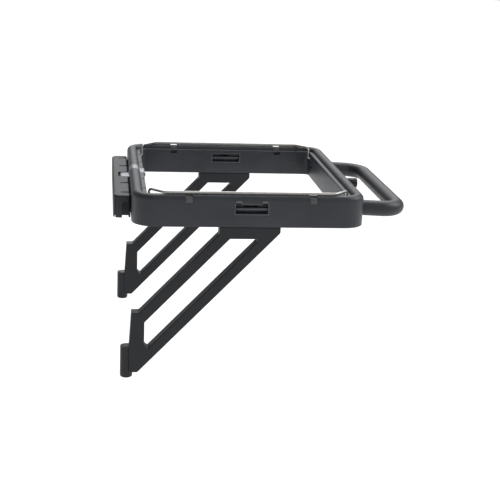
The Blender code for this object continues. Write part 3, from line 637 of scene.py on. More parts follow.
@dataclass(frozen=True)
class DrawnWire:
    """Bright drawn wire: fine lines along its length and a slightly uneven shine."""

    name: str
    level: float = 0.62
    roughness: float = 0.24
    along: Triple = (0.02, 1.0, 1.0)

    def material(self) -> bpy.types.Material:
        """Build the finish's nodes.

        Returns:
            The material.
        """
        graph = Graph(self.name)
        lines = graph.noise(2600.0, 2.0, graph.stretched(self.along))
        patches = graph.noise(35.0, 4.0)
        body = graph.blend(patches.ramp(0.35, 0.7), tint(self.level * 0.86, 0.05),
                           tint(self.level, 0.02))
        graph.put(graph.shader.inputs["Base Color"], body)
        graph.put(graph.shader.inputs["Roughness"],
                  self.roughness + 0.12 * (lines - 0.5) + 0.10 * (patches - 0.5))
        graph.put(graph.shader.inputs["Normal"], graph.bump(lines, 0.00001))
        graph.shader.inputs["Metallic"].default_value = 1.0
        return graph.material


@dataclass(frozen=True)
class ZincPlate:
    """Blue-white zinc plating: small crystals of slightly different tone under a dull shine."""

    name: str
    level: float = 0.55
    warmth: float = -0.10
    roughness: float = 0.36
    crystal: float = 0.0035

    def material(self) -> bpy.types.Material:
        """Build the finish's nodes.

        Returns:
            The material.
        """
        graph = Graph(self.name)
        sockets = {"Vector": graph.place, "Scale": 1 / self.crystal}
        cells = graph.node("ShaderNodeTexVoronoi", {"feature": "F1"}, sockets, "Color")
        level = graph.node("ShaderNodeSeparateColor", None, {0: cells})
        smear = graph.noise(180.0, 4.0)
        share = 0.6 * level + 0.4 * smear
        body = graph.blend(share, tint(self.level * 0.80, self.warmth),
                           tint(self.level * 1.15, self.warmth))
        graph.put(graph.shader.inputs["Base Color"], body)
        graph.put(graph.shader.inputs["Roughness"], self.roughness + 0.14 * (share - 0.5))
        graph.put(graph.shader.inputs["Normal"], graph.bump(smear, 0.00002))
        graph.shader.inputs["Metallic"].default_value = 0.9
        return graph.material


@dataclass(frozen=True)
class TurnedSteel:
    """Machined steel: fine turning marks and a few duller patches."""

    name: str
    level: float = 0.50
    roughness: float = 0.30

    def material(self) -> bpy.types.Material:
        """Build the finish's nodes.

        Returns:
            The material.
        """
        graph = Graph(self.name)
        marks = graph.noise(1800.0, 2.0, graph.stretched((1.0, 0.2, 1.0)))
        stains = graph.noise(90.0, 5.0).ramp(0.45, 0.75)
        body = graph.blend(stains, tint(self.level, 0.01), tint(self.level * 0.72, 0.05))
        graph.put(graph.shader.inputs["Base Color"], body)
        graph.put(graph.shader.inputs["Roughness"],
                  self.roughness + 0.10 * (marks - 0.5) + 0.16 * stains)
        graph.put(graph.shader.inputs["Normal"], graph.bump(marks, 0.00001))
        graph.shader.inputs["Metallic"].default_value = 1.0
        return graph.material


class Finish(Enum):
    """Every finish on the carrier: the record's slot that it belongs to, and its recipe."""

    RING = ("ring_plastic", Moulding("ring", 0.024, 0.44, shine=0.38))
    BLOCK = ("block_plastic", Moulding("block", 0.019, 0.50))
    BRACE = ("brace_plastic", Moulding("brace", 0.013, 0.48, 0.0009, 0.00003))
    HANDLE = ("handle_plastic", Moulding("handle", 0.016, 0.46, grain_depth=0.000008, shine=0.45))
    KNOB = ("knob_plastic", Moulding("knob", 0.006, 0.42))
    CLIP = ("grey_plastic", Moulding("clip", 0.075, 0.40, warmth=0.0))
    # the ears wear a lighter copy of the latch plastic: painted highlight for the light they catch
    # from above
    EAR = ("latch_plastic", Moulding("ear", 0.085, 0.42, warmth=0.0))
    LATCH = ("latch_plastic", Moulding("latch", 0.034, 0.34, shine=0.6))
    BUSH = ("grey_plastic", Moulding("bush", 0.012, 0.40, warmth=0.0))
    ZINC = ("zinc_plate", ZincPlate("zinc", 0.26))
    WIRE = ("bright_wire", DrawnWire("wire", 0.42, 0.34))
    STEEL = ("fixing_steel", TurnedSteel("steel", 0.28, 0.36))
    PIN = ("fixing_steel", TurnedSteel("pin", 0.06, 0.40))

    @property
    def slot(self) -> str:
        """The record's material slot."""
        return self.value[0]

    def material(self) -> bpy.types.Material:
        """The finish's material, built the first time it is asked for."""
        recipe = self.value[1]
        return bpy.data.materials.get(recipe.name) or recipe.material()


def dress(piece: Thing, finish: Finish, body: str, *nodes: str, smooth: float = 38.0) -> Thing:
    """Give a finished piece its material, shading, body and the nodes it stands for.

    Args:
        piece: The piece, at the origin.
        finish: What it is made of.
        body: The body that it moves with.
        nodes: The solids that it replaces.
        smooth: The angle in degrees above which an edge stays sharp.

    Returns:
        The same piece.
    """
    piece.data.materials.clear()
    piece.data.materials.append(finish.material())
    piece.data.shade_smooth()
    piece.data.set_sharp_from_angle(angle=math.radians(smooth))
    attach(piece, body)
    if nodes:
        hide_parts(*nodes)
    LOG.info("%s rides on %s, %d faces", piece.name, body, len(piece.data.polygons))
    return piece


# ------------------------------------------------------------------ the carrier

@dataclass
class RingRail:
    """The moulded ring: its rail, hinge lugs, clip notches, latch windows and holes."""

    rail: float = 0.027
    rim: float = 0.010
    ledge_drop: float = 0.008
    ledge_round: float = 0.0012
    thick: float = 0.003
    block_clear: float = 0.001
    rear_corner: float = 0.040
    front_corner: float = 0.038
    corner_steps: int = 24
    lug: float = 0.0042
    lug_width: float = 0.004
    lug_pitch: float = 0.075
    body: str = "ring_body"

    def __post_init__(self) -> None:
        """Take the ring's overall places from its solid."""
        low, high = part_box("ring_frame")
        rod_low, rod_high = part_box("hinge_rod")
        self.hinge: Pair = ((rod_low.x + rod_high.x) / 2, (rod_low.z + rod_high.z) / 2)
        self.rod = (rod_high.z - rod_low.z) / 2
        self.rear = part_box("hinge_block")[1].x + self.block_clear
        self.front = high.x
        self.side = high.y
        self.bottom = low.z
        self.top = high.z
        self.crest = self.top - self.rim
        self.ledge = self.top - self.ledge_drop
        self.inner_front = self.front - self.rail

    def level(self, radius: float, height: float) -> float:
        """The angle in degrees at which an arc about the rim's centre is at a height."""
        return math.degrees(math.asin((height - self.crest) / radius))

    def section(self) -> Array:
        """The rail's hollow section as (inset, height) pairs, open below.

        The rim is an arc about (rim, crest) from the outer wall over to the ledge; the ledge's
        inner corner and the two feet have small rounds of their own.

        Returns:
            The section's pairs, in order round it.
        """
        centre = (self.rim, self.crest)
        edge, foot = self.ledge_round, SOFT
        ledge_angle = self.level(self.rim, self.ledge)
        inside = self.rim - self.thick
        under = self.ledge - self.thick
        inner_angle = self.level(inside, under)
        inner = self.rail - self.thick
        return np.vstack((
            arc((foot, self.bottom + foot), foot, 270, 180, 3),
            arc(centre, self.rim, 180, ledge_angle, 30),
            arc((self.rail - edge, self.ledge - edge), edge, 90, 0, 4),
            arc((self.rail - foot, self.bottom + foot), foot, 0, -90, 3),
            [(inner, self.bottom), (inner, under)],
            arc(centre, inside, inner_angle, 180, 14),
            [(self.thick, self.bottom)],
        ))

    def surface(self) -> Array:
        """The rail's section carried round the ring.

        At inset i a corner's point is its centre + (corner radius - i)(cos a, sin a), so every
        inset keeps the same centres and the straight runs join the corners.

        Returns:
            Points by place in the section and by place round the ring.
        """
        rear, front, side = self.rear_corner, self.front_corner, self.side
        centres = np.array([(self.front - front, front - side), (self.front - front, side - front),
                            (self.rear + rear, side - rear), (self.rear + rear, rear - side)])
        radii = np.array([front, front, rear, rear])
        angles = np.radians(np.array([270, 0, 90, 180])[:, None]
                            + np.linspace(0, 90, self.corner_steps + 1))
        rays = np.stack((np.cos(angles), np.sin(angles)), axis=-1)
        inset, height = self.section().T
        reach = radii[None, :, None, None] - inset[:, None, None, None]
        plane = (centres[:, None] + reach * rays).reshape(len(inset), -1, 2)
        return Axis.Z.place(plane, height[:, None])

    def across(self, name: str, x: float, side: Side, insets: Pair, heights: Pair,
               width: float, corner: float = 0.0) -> Thing:
        """A block across a long rail, its insets measured from the ring's outer face.

        Args:
            name: The block's name.
            x: Its middle along the rail.
            side: Which rail it crosses.
            insets: Where it starts and ends, from the outer face inwards.
            heights: Its lowest and highest Z.
            width: Its size along the rail.
            corner: The radius of its corners.

        Returns:
            The block.
        """
        ends = sorted(side.value * (self.side - inset) for inset in insets)
        outline = rectangle((x - width / 2, heights[0]), (x + width / 2, heights[1]), corner)
        return prism(name, outline, ends[0], ends[1], Axis.Y)

    def lugs(self) -> list[Thing]:
        """The plastic hinge lugs: an eye about the rod, drawn out to the rail.

        Returns:
            The four lugs.
        """
        places = [self.lug_pitch * n for n in (-2, -1, 1, 2)]
        eye = arc(self.hinge, self.lug, 90, 270, 20)
        root = self.rear + self.thick / 2
        foot = [(root, self.hinge[1] - self.lug), (root, self.hinge[1] + self.lug)]
        half = self.lug_width / 2
        return [prism("lug", np.vstack((eye, foot)), y - half, y + half, Axis.Y, BLUNT)
                for y in places]

    def build(self, clips: "Clips", latches: "Latches", handle: "Handle", knob: "Knob",
              strap: "CentreStrap") -> None:
        """Make the ring and cut the seats of everything that it carries.

        Args:
            clips: The clips that it carries.
            latches: The latches.
            handle: The handle.
            knob: The knob.
            strap: The centre strap.
        """
        ring = shell("carrier_ring", self.surface(), loop=True)
        carve(ring, self.lugs(), "UNION")
        reach = 2 * self.lug_pitch + self.lug_width
        cuts = [prism("bore", circle(self.hinge, self.rod + GAP), -reach, reach, Axis.Y)]
        for side in Side:
            cuts += clips.seats(self, side) + latches.seats(self, side)
            cuts += handle.seats(side)
            for start, end in ((self.rear + 2 * self.thick, self.rear + self.rail + self.thick),
                               (self.inner_front - self.thick, self.front - 2 * self.thick)):
                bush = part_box(f"{side.label}_rear_bail_bush")
                spot = ((bush[0].y + bush[1].y) / 2, (bush[0].z + bush[1].z) / 2)
                size = (bush[1].y - bush[0].y) / 2 + GAP
                cuts.append(prism("bush", circle(spot, size, 32), start, end, Axis.X))
        cuts += self.ledge_slots() + knob.seats(self) + strap.seats(self)
        carve(ring, cuts)
        dress(ring, Finish.RING, self.body, "ring_frame")

    def ledge_slots(self) -> list[Thing]:
        """The narrow slots in the rear rail's ledge, in line with the lugs.

        Returns:
            The solids that cut them.
        """
        half = self.lug_width / 2
        low = self.rear + 2 * self.rim + GAP
        high = self.rear + self.rail + self.thick
        cuts = []
        for n in (-2, -1, 1, 2):
            y = self.lug_pitch * n
            outline = rectangle((low, y - half), (high, y + half), SOFT)
            cuts.append(prism("slot", outline, self.ledge - self.thick / 2,
                              self.ledge + self.thick, Axis.Z))
        return cuts


@dataclass
class Clips:
    """The four saddle clips let into the rim, each with a groove under the wire."""

    width: float = 0.0128
    leg: float = 0.004
    groove: float = 0.0045
    groove_outer: float = 50.0
    groove_inner: float = 20.0
    web: float = 0.002
    slot_drop: float = 0.0012
    slot_height: float = 0.006

    def centre(self, side: Side, end: End) -> float:
        """X of a clip's middle."""
        low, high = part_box(f"{side.label}_{end.label}_clip")
        return (low.x + high.x) / 2

    def seats(self, ring: RingRail, side: Side) -> list[Thing]:
        """The notch across the rim and the slot in the inner wall for each clip.

        Args:
            ring: The ring that they are let into.
            side: Which long rail.

        Returns:
            The solids that cut them.
        """
        foot = ring.crest - self.leg - GAP
        cuts = []
        for end in End:
            x = self.centre(side, end)
            cuts.append(ring.across("notch", x, side, (-ring.thick, 2 * ring.rim),
                                    (foot, ring.top + ring.thick), self.width + 2 * GAP))
            cuts.append(ring.across("slot", x, side,
                                    (ring.rail - 2 * ring.thick, ring.rail + ring.thick),
                                    (ring.ledge - self.slot_drop - self.slot_height,
                                     ring.ledge - self.slot_drop), self.width, SOFT))
        return cuts

    def build(self, ring: RingRail) -> None:
        """Make each clip: a rim-shaped saddle with a sunk groove, prismatic along X.

        Args:
            ring: The ring that they sit on.
        """
        outer = ring.rim - GAP
        floor = ring.rim - self.groove
        inner = floor - self.web
        foot = ring.crest - self.leg
        for side in Side:
            centre = (side.value * (ring.side - ring.rim), ring.crest)
            ends = (self.groove_outer, self.groove_inner)[::side.value]
            start, end = 90 - ends[0], 90 + ends[1]
            outline = np.vstack((
                [(centre[0] + outer, foot)],
                arc(centre, outer, 0, start, 14),
                arc(centre, floor, start, end, 10),
                arc(centre, outer, end, 180, 14),
                [(centre[0] - outer, foot), (centre[0] - inner, foot)],
                arc(centre, inner, 180, 0, 20),
                [(centre[0] + inner, foot)],
            ))
            for place in End:
                x = self.centre(side, place)
                name = f"{side.label}_{place.label}_saddle"
                half = self.width / 2
                clip = prism(name, outline, x - half, x + half, Axis.X, CRISP)
                dress(clip, Finish.CLIP, ring.body, f"{side.label}_{place.label}_clip")


@dataclass
class Latches:
    """The two side latches: bezels in both walls, and a rocking lever between them."""

    width: float = 0.062
    height: float = 0.022
    lip: float = 0.003
    ear_width: float = 0.0105
    ear_height: float = 0.004
    hub: float = 0.0042
    bar_drop: float = 0.0045
    bar_height: float = 0.0056
    lever_side: float = 0.0035
    spring_start: float = 0.0132
    spring_end: float = 0.0100
    spring_room: float = 0.0043
    window_round: float = 0.0012
    bezel_round: float = 0.0010
    hole_round: float = 0.0016
    bar_round: float = 0.0018
    bar_edge: float = 0.0008
    flap_edge: float = 0.0003
    pocket_round: float = 0.0006

    def __post_init__(self) -> None:
        """Take the windows' places from the bezels' solids."""
        low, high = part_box("near_inner_bezel")
        self.x = (low.x + high.x) / 2
        self.low = low.z - GAP
        self.high = high.z + GAP

    def ear(self, ring: RingRail, side: Side, hand: int, spare: float, top: float) -> Thing:
        """An ear above a bezel's window, or with a spare the notch that it fits.

        Args:
            ring: The ring.
            side: Which long rail.
            hand: 1 for the front ear, -1 for the rear one.
            spare: The clearance round it.
            top: How far it stands out of the wall.

        Returns:
            The ear, or the solid that cuts its notch.
        """
        x = self.x + hand * (self.width / 2 - self.ear_width / 2 - ring.thick)
        return ring.across("ear", x, side, (-top, ring.thick + spare),
                           (self.high - self.lip, self.high + self.ear_height + spare),
                           self.ear_width + 2 * spare, SOFT)

    def seats(self, ring: RingRail, side: Side) -> list[Thing]:
        """The window in each wall and the notches for the outer bezel's ears.

        Args:
            ring: The ring.
            side: Which long rail.

        Returns:
            The solids that cut them.
        """
        cuts = []
        for insets in ((-ring.thick, 2 * ring.thick),
                       (ring.rail - 2 * ring.thick, ring.rail + ring.thick)):
            cuts.append(ring.across("window", self.x, side, insets, (self.low, self.high),
                                    self.width, self.window_round))
        cuts += [self.ear(ring, side, hand, GAP, 2 * ring.thick) for hand in (-1, 1)]
        return cuts

    def build(self, ring: RingRail) -> None:
        """Make the bezels and levers of both sides.

        Args:
            ring: The ring that holds them.
        """
        for side in Side:
            for place, inset in (("outer", 0.0), ("inner", ring.rail - ring.thick)):
                self.bezel(ring, side, place, inset)
            self.lever(ring, side)

    def bezel(self, ring: RingRail, side: Side, place: str, inset: float) -> None:
        """One bezel: a frame with rounded rims, the outer one with two ears joined on.

        Args:
            ring: The ring.
            side: Which long rail.
            place: outer or inner.
            inset: How far its outer face is from the ring's.
        """
        half = self.width / 2 - GAP
        outline = rectangle((self.x - half, self.low + GAP), (self.x + half, self.high - GAP),
                            self.bezel_round)
        half -= self.lip - GAP
        hole = rectangle((self.x - half, self.low + self.lip),
                         (self.x + half, self.high - self.lip), self.hole_round)
        ends = sorted(side.value * (ring.side - d) for d in (inset, inset + ring.thick))
        bezel = frame_plate(f"{side.label}_{place}_surround", outline, hole, ends[0], ends[1],
                            Axis.Y, CRISP)
        dress(bezel, Finish.LATCH, ring.body, f"{side.label}_{place}_bezel")
        if place == "outer":
            for hand in (-1, 1):
                ear = self.ear(ring, side, hand, 0.0, 0.0)
                ear.name = f"{side.label}_{'front' if hand > 0 else 'rear'}_ear"
                soften(ear, CRISP)
                # lighter ear plastic: painted highlight where the ears catch the light from above
                dress(ear, Finish.EAR, ring.body, f"{side.label}_{place}_bezel")

    def lever(self, ring: RingRail, side: Side) -> None:
        """A lever: hub, finger bars towards both windows, shutter and foot.

        Args:
            ring: The ring.
            side: Which long rail.
        """
        pin_low, pin_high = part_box(f"{side.label}_latch_pin")
        axis = ((pin_low.y + pin_high.y) / 2, (pin_low.z + pin_high.z) / 2)
        pin = (pin_high.z - pin_low.z) / 2
        half = self.width / 2 - self.lever_side
        reach = ring.rail / 2 - ring.thick - BLUNT
        lever = prism(f"{side.label}_rocker", circle(axis, self.hub, 40), self.x - half,
                      self.x + half, Axis.X, BLUNT)
        bar = axis[1] - self.bar_drop
        bar_half = self.bar_height / 2
        outline = rectangle((axis[0] - reach, bar - bar_half), (axis[0] + reach, bar + bar_half),
                            self.bar_round)
        bars = prism("bars", outline, self.x - half + BLUNT, self.x + half - BLUNT,
                     Axis.X, self.bar_edge)
        flap = prism("flap", rectangle((self.x - half + 2 * BLUNT, self.low),
                                       (self.x + half - 2 * BLUNT, bar), BLUNT),
                     axis[0] - pin, axis[0] + pin, Axis.Y, self.flap_edge)
        foot = prism("foot", rectangle((self.x - 2 * self.hub, ring.bottom + BLUNT),
                                       (self.x + 2 * self.hub, bar), self.bezel_round),
                     axis[0] - self.hub / 2, axis[0] + self.hub / 2, Axis.Y, CRISP)
        carve(lever, [bars, flap, foot], "UNION")
        room = self.spring_room
        pocket = prism("pocket", rectangle((axis[0] - room, axis[1] - room),
                                           (axis[0] + room, axis[1] + 2 * self.hub),
                                           self.pocket_round),
                       self.x - self.spring_start, self.x + self.spring_end, Axis.X)
        carve(lever, [prism("bore", circle(axis, pin + GAP, 32), self.x - 2 * half,
                            self.x + 2 * half, Axis.X), pocket])
        dress(lever, Finish.LATCH, f"{side.label}_lever_body", f"{side.label}_latch_lever")


@dataclass
class Handle:
    """The bent tube that the carrier is pushed by."""

    radius: float = 0.014
    thick: float = 0.003
    bend: float = 0.035
    leg: float = 0.1685
    reach: float = 0.0767
    height: float = 0.022
    droop: float = math.radians(2.4)
    inside: float = 0.0207
    screw_hole: float = 0.0033
    screw_head: float = 0.004

    def point(self, ring: RingRail, along: float, y: float) -> Triple:
        """A point on the handle's drooping plane, along measured from the front rail."""
        return (ring.front + along * math.cos(self.droop), y,
                ring.bottom + self.height - along * math.sin(self.droop))

    def seats(self, side: Side) -> list[Thing]:
        """The bar that clears each leg's hole and the screw's hole behind it.

        Args:
            side: Which leg.

        Returns:
            The solids that cut them.
        """
        low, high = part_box("ring_frame")
        y = side.value * self.leg
        front = Vector((high.x, y, low.z + self.height))
        path = np.array([front + Vector((d * math.cos(self.droop), 0, -d * math.sin(self.droop)))
                         for d in (-self.inside, self.reach / 4)])
        leg = shell("leg", swept(path, (0, 0, 1), self.radius + GAP, 64))
        screw_low, screw_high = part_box(f"{side.label}_handle_screw")
        spot = (y, (screw_low.z + screw_high.z) / 2)
        hole = prism("hole", circle(spot, self.screw_hole, 32), screw_low.x,
                     screw_high.x - self.screw_head, Axis.X)
        return [leg, hole]

    def build(self, ring: RingRail) -> None:
        """Make the tube: a wall carried along a line with two round bends.

        Args:
            ring: The ring that it stands out from.
        """
        corners = [self.point(ring, -self.inside, -self.leg),
                   self.point(ring, self.reach, -self.leg),
                   self.point(ring, self.reach, self.leg),
                   self.point(ring, -self.inside, self.leg)]
        path = rounded(corners, self.bend, 28, closed=False)
        up = (math.sin(self.droop), 0.0, math.cos(self.droop))
        outer = swept(path, up, self.radius, 64)
        inner = swept(path, up, self.radius - self.thick, 64)
        tube = shell("push_handle", np.concatenate((outer, inner[::-1])), loop=True)
        dress(tube, Finish.HANDLE, ring.body, "handle_tube")


@dataclass
class Bails:
    """The two wire bails that clamp a bag's mouth on the rim."""

    wire: float = 0.00225
    axis_in: float = 0.042
    axis_drop: float = 0.018
    shoulder: float = 0.006
    standoff: float = 0.0008
    lean: float = 0.0245
    bends: Triple = (0.0035, 0.008, 0.012)
    upright: Pair = (0.86, -0.51)

    def corners(self, ring: RingRail, side: Side) -> list[Triple]:
        """Corner points: hook, arm, run along the crest, arm, hook.

        Args:
            ring: The ring.
            side: Which long rail.

        Returns:
            The corners, from the rear hook to the front one.
        """
        run_y = side.value * (ring.side - ring.rim)
        run_z = ring.top + self.wire + GAP
        axis_y = side.value * (ring.side - self.axis_in)
        shoulder = side.value * (ring.side - self.axis_in + self.shoulder)
        axis_z = ring.top - self.axis_drop
        line: list[Triple] = []
        for face, end in ((ring.rear + ring.rail, End.REAR), (ring.inner_front, End.FRONT)):
            arm = face + end.value * (self.wire + self.standoff)
            tip = face - end.value * 2 * ring.thick
            bend = arm + end.value * self.lean
            half = [(tip, axis_y, axis_z), (arm, axis_y, axis_z), (arm, shoulder, run_z),
                    (bend, run_y, run_z)]
            line += half if end is End.REAR else half[::-1]
        return line

    def build(self, ring: RingRail) -> None:
        """Make each bail: a round wire carried along its rounded line.

        Args:
            ring: The ring that they lie on.
        """
        for side in Side:
            path = rounded(self.corners(ring, side), self.bends + self.bends[::-1], 9,
                           closed=False)
            up = (0.0, self.upright[0], self.upright[1] * side.value)
            wire = shell(f"{side.label}_wire_bail", swept(path, up, self.wire, 24))
            dress(wire, Finish.WIRE, f"{side.label}_bail_body", f"{side.label}_bail")


@dataclass
class Knob:
    """The ribbed knob on the front rail."""

    radius: float = 0.009
    flutes: int = 14
    flute_depth: float = 0.0006
    edge: float = 0.0012

    def seats(self, ring: RingRail) -> list[Thing]:
        """The stud's hole through the front rail's outer wall.

        Args:
            ring: The ring.

        Returns:
            The solid that cuts it.
        """
        stud_low, stud_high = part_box("knob_stud")
        spot = ((stud_low.y + stud_high.y) / 2, (stud_low.z + stud_high.z) / 2)
        radius = (stud_high.z - stud_low.z) / 2 + GAP
        return [prism("hole", circle(spot, radius, 32), ring.front - 2 * ring.thick,
                      ring.front + ring.thick, Axis.X)]

    def build(self) -> None:
        """Make the knob: at angle t the radius dips by depth (1 - cos(flutes t)) / 2.

        The end face is dished and has a raised ring and a centre boss.
        """
        low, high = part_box("knob")
        stud_low, stud_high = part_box("knob_stud")
        centre = np.array(((low.y + high.y) / 2, (low.z + high.z) / 2))
        bore = (stud_high.z - stud_low.z) / 2 + GAP
        depth_end = stud_high.x + GAP
        rim, edge = self.radius, self.edge
        profile = np.array([
            (bore, low.x), (rim - edge, low.x), (rim - 0.3 * edge, low.x + 0.3 * edge),
            (rim, low.x + edge), (rim, high.x - edge), (rim - 0.3 * edge, high.x - 0.3 * edge),
            (rim - edge, high.x), (rim - 2.0 * edge, high.x), (rim - 2.4 * edge, high.x - 0.0005),
            (0.0042, high.x - 0.0008), (0.0036, high.x - 0.0003), (0.0, high.x - 0.0002),
            (0.0, depth_end), (bore, depth_end),
        ])
        angles = np.linspace(0.0, 2 * math.pi, self.flutes * 12, endpoint=False)
        ray = np.column_stack((np.cos(angles), np.sin(angles)))
        dip = self.flute_depth * (1 - np.cos(self.flutes * angles)) / 2
        fluted = (profile[:, 0] > rim - 0.5 * edge)[:, None]
        radius = profile[:, 0][:, None] - np.where(fluted, dip, 0.0)
        plane = centre + radius[..., None] * ray
        knob = shell("ribbed_knob", Axis.X.place(plane, profile[:, 1][:, None]), loop=True)
        dress(knob, Finish.KNOB, "knob_body", "knob", smooth=50.0)


@dataclass
class CentreStrap:
    """The zinc-plated strap: a knuckle round the rod, over the rear rail and down inside it."""

    thick: float = 0.0015
    knuckle: float = 0.0068
    tail: float = 0.014
    bend: float = 0.0018
    screw_hole: float = 0.0018

    def seats(self, ring: RingRail) -> list[Thing]:
        """The strap's recess in the rear rail's outer face, crest and ledge.

        Args:
            ring: The ring.

        Returns:
            The solid that cuts it.
        """
        depth, past = self.thick + GAP, ring.thick
        floor, end = ring.rim - depth, ring.rear + ring.rail + ring.thick
        foot = ring.hinge[1] + ring.rod
        outline = np.vstack((
            [(ring.rear - past, foot), (ring.rear + depth, foot)],
            arc((ring.rear + ring.rim, ring.crest), floor, 180,
                ring.level(floor, ring.ledge - depth), 22),
            [(end, ring.ledge - depth), (end, ring.top + past),
             (ring.rear - past, ring.top + past)],
        ))
        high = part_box("centre_strap")[1]
        return [prism("seat", outline, -high.y - GAP, high.y + GAP, Axis.Y)]

    def build(self, ring: RingRail) -> None:
        """Make the strap as one outline in the XZ plane, drawn out across its width.

        Args:
            ring: The ring that it goes over.
        """
        low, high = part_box("centre_strap")
        eye_in = ring.rod + GAP
        crest = (ring.rear + ring.rim, ring.crest)
        under = ring.rim - self.thick
        below = ring.ledge - self.thick
        inner_x = ring.rear + ring.rail + GAP
        outer_x = inner_x + self.thick
        foot = ring.ledge - self.tail
        bend = self.bend
        outline = np.vstack((
            arc(ring.hinge, self.knuckle, -60, -270, 24),
            [(ring.rear, ring.hinge[1] + self.knuckle)],
            arc(crest, ring.rim, 180, ring.level(ring.rim, ring.ledge), 22),
            arc((outer_x - bend, ring.ledge - bend), bend, 90, 0, 5),
            [(outer_x, foot), (inner_x, foot), (inner_x, below)],
            arc(crest, under, ring.level(under, below), 180, 22),
            [(ring.rear + self.thick, ring.hinge[1] + eye_in)],
            arc(ring.hinge, eye_in, -270, -60, 24),
        ))
        strap = prism("hinge_strap", outline, low.y, high.y, Axis.Y, CRISP)
        screw_low, screw_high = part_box("strap_screw")
        spot = (0.0, (screw_low.z + screw_high.z) / 2)
        carve(strap, [prism("hole", circle(spot, self.screw_hole, 24), inner_x - GAP, outer_x + GAP,
                            Axis.X)])
        dress(strap, Finish.ZINC, ring.body, "centre_strap")


@dataclass
class HingeBlock:
    """The moulded block against the trolley, slotted for the lugs and open below."""

    thick: float = 0.003
    corner: float = 0.012
    edge: float = 0.004
    slot_clear: float = 0.0005
    flare: float = 0.0025
    rib: float = 0.005
    gap_width: float = 0.0125
    gap_height: float = 0.0285
    gap_x: float = 0.0218
    slot_round: float = 0.0006
    pocket_round: float = 0.0015
    body: str = "hinge_block_body"

    def surface(self, low: Vector, high: Vector) -> Array:
        """Rings up the block's wall, from a nearly square foot to a rounded top edge.

        At inset i a corner's point is its centre + radius (cos a, sin a). The back corners keep
        their centres and lose i of their radius; the front ones lose i / 2 and move back by i / 2.

        Args:
            low: The block's lowest corner.
            high: Its highest corner.

        Returns:
            Points by ring and by place in the ring.
        """
        turn = np.radians(np.linspace(0, 90, 9))
        foot = SOFT
        inset = np.concatenate((foot * (1 - np.sin(turn[::4])), self.edge * (1 - np.cos(turn))))
        height = np.concatenate((low.z + foot * (1 - np.cos(turn[::4])),
                                 high.z - self.edge * (1 - np.sin(turn))))
        front = high.x - self.edge - inset / 2
        side = high.y - self.edge - inset / 2
        back = np.full_like(inset, self.corner)
        flank = high.y - back
        centres = np.stack((np.stack((back, -flank), -1), np.stack((back, flank), -1),
                            np.stack((front, side), -1), np.stack((front, -side), -1)), axis=1)
        radii = np.stack((back - inset, back - inset) + (self.edge - inset / 2,) * 2, axis=1)
        angles = np.radians(np.array([270, 180, 90, 0])[:, None] - np.linspace(0, 90, 13))
        rays = np.stack((np.cos(angles), np.sin(angles)), axis=-1)
        plane = centres[:, :, None] + radii[..., None, None] * rays
        return Axis.Z.place(plane.reshape(len(inset), -1, 2), height[:, None])

    def build(self, ring: RingRail) -> None:
        """Make the block, hollow it out, and cut the slots, the rod's hole and the hooks.

        Args:
            ring: The ring that hinges on it.
        """
        low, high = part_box("hinge_block")
        half, depth = high.y, high.x
        block = shell("hinge_housing", self.surface(low, high))
        lug = ring.lug_width / 2 + self.slot_clear
        strap_low, strap_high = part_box("centre_strap")
        slots = [(ring.lug_pitch * n, lug, ring.lug, self.flare) for n in (-2, -1, 1, 2)]
        knuckle = ring.hinge[0] - strap_low.x
        slots = sorted(slots + [(0.0, strap_high.y + self.slot_clear, knuckle, 0.0)])
        cuts = self.pockets(low, high, [(y, width) for y, width, _, _ in slots])
        for y, width, radius, flare in slots:
            back = ring.hinge[0] - radius - 2 * self.slot_clear
            floor = ring.hinge[1] - radius - 2 * self.slot_clear
            outline = rounded([(back, y - width), (depth + self.edge, y - width - flare),
                               (depth + self.edge, y + width + flare), (back, y + width)],
                              self.slot_round)
            cuts.append(prism("slot", outline, floor, high.z + self.edge, Axis.Z))
        rod_low, rod_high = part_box("hinge_rod")
        cuts.append(prism("rod", circle(ring.hinge, ring.rod + GAP), rod_low.y - GAP,
                          half + self.thick, Axis.Y))
        radius = self.gap_width / 2
        crown = low.z + self.gap_height - radius
        arch = np.vstack((arc((self.gap_x, crown), radius, 0, 180, 20),
                          [(self.gap_x - radius, low.z - self.thick),
                           (self.gap_x + radius, low.z - self.thick)]))
        for side in Side:
            ends = sorted(side.value * (half + d) for d in (self.thick, -2 * self.thick))
            cuts.append(prism("gap", arch, ends[0], ends[1], Axis.Y))
        carve(block, cuts)
        dress(block, Finish.BLOCK, self.body, "hinge_block")

    def pockets(self, low: Vector, high: Vector, slots: list[Pair]) -> list[Thing]:
        """The hollows below, between a rib on each side of every slot.

        Args:
            low: The block's lowest corner.
            high: Its highest corner.
            slots: The middle and half width of each slot, in order.

        Returns:
            The solids that cut them.
        """
        edges = [low.y + self.thick]
        for y, width in slots:
            edges += [y - width - self.rib, y + width + self.rib]
        edges.append(high.y - self.thick)
        return [prism("pocket", rectangle((self.thick, start), (high.x - self.thick, end),
                                          self.pocket_round), low.z - self.thick,
                      high.z - self.thick, Axis.Z)
                for start, end in zip(edges[::2], edges[1::2])]


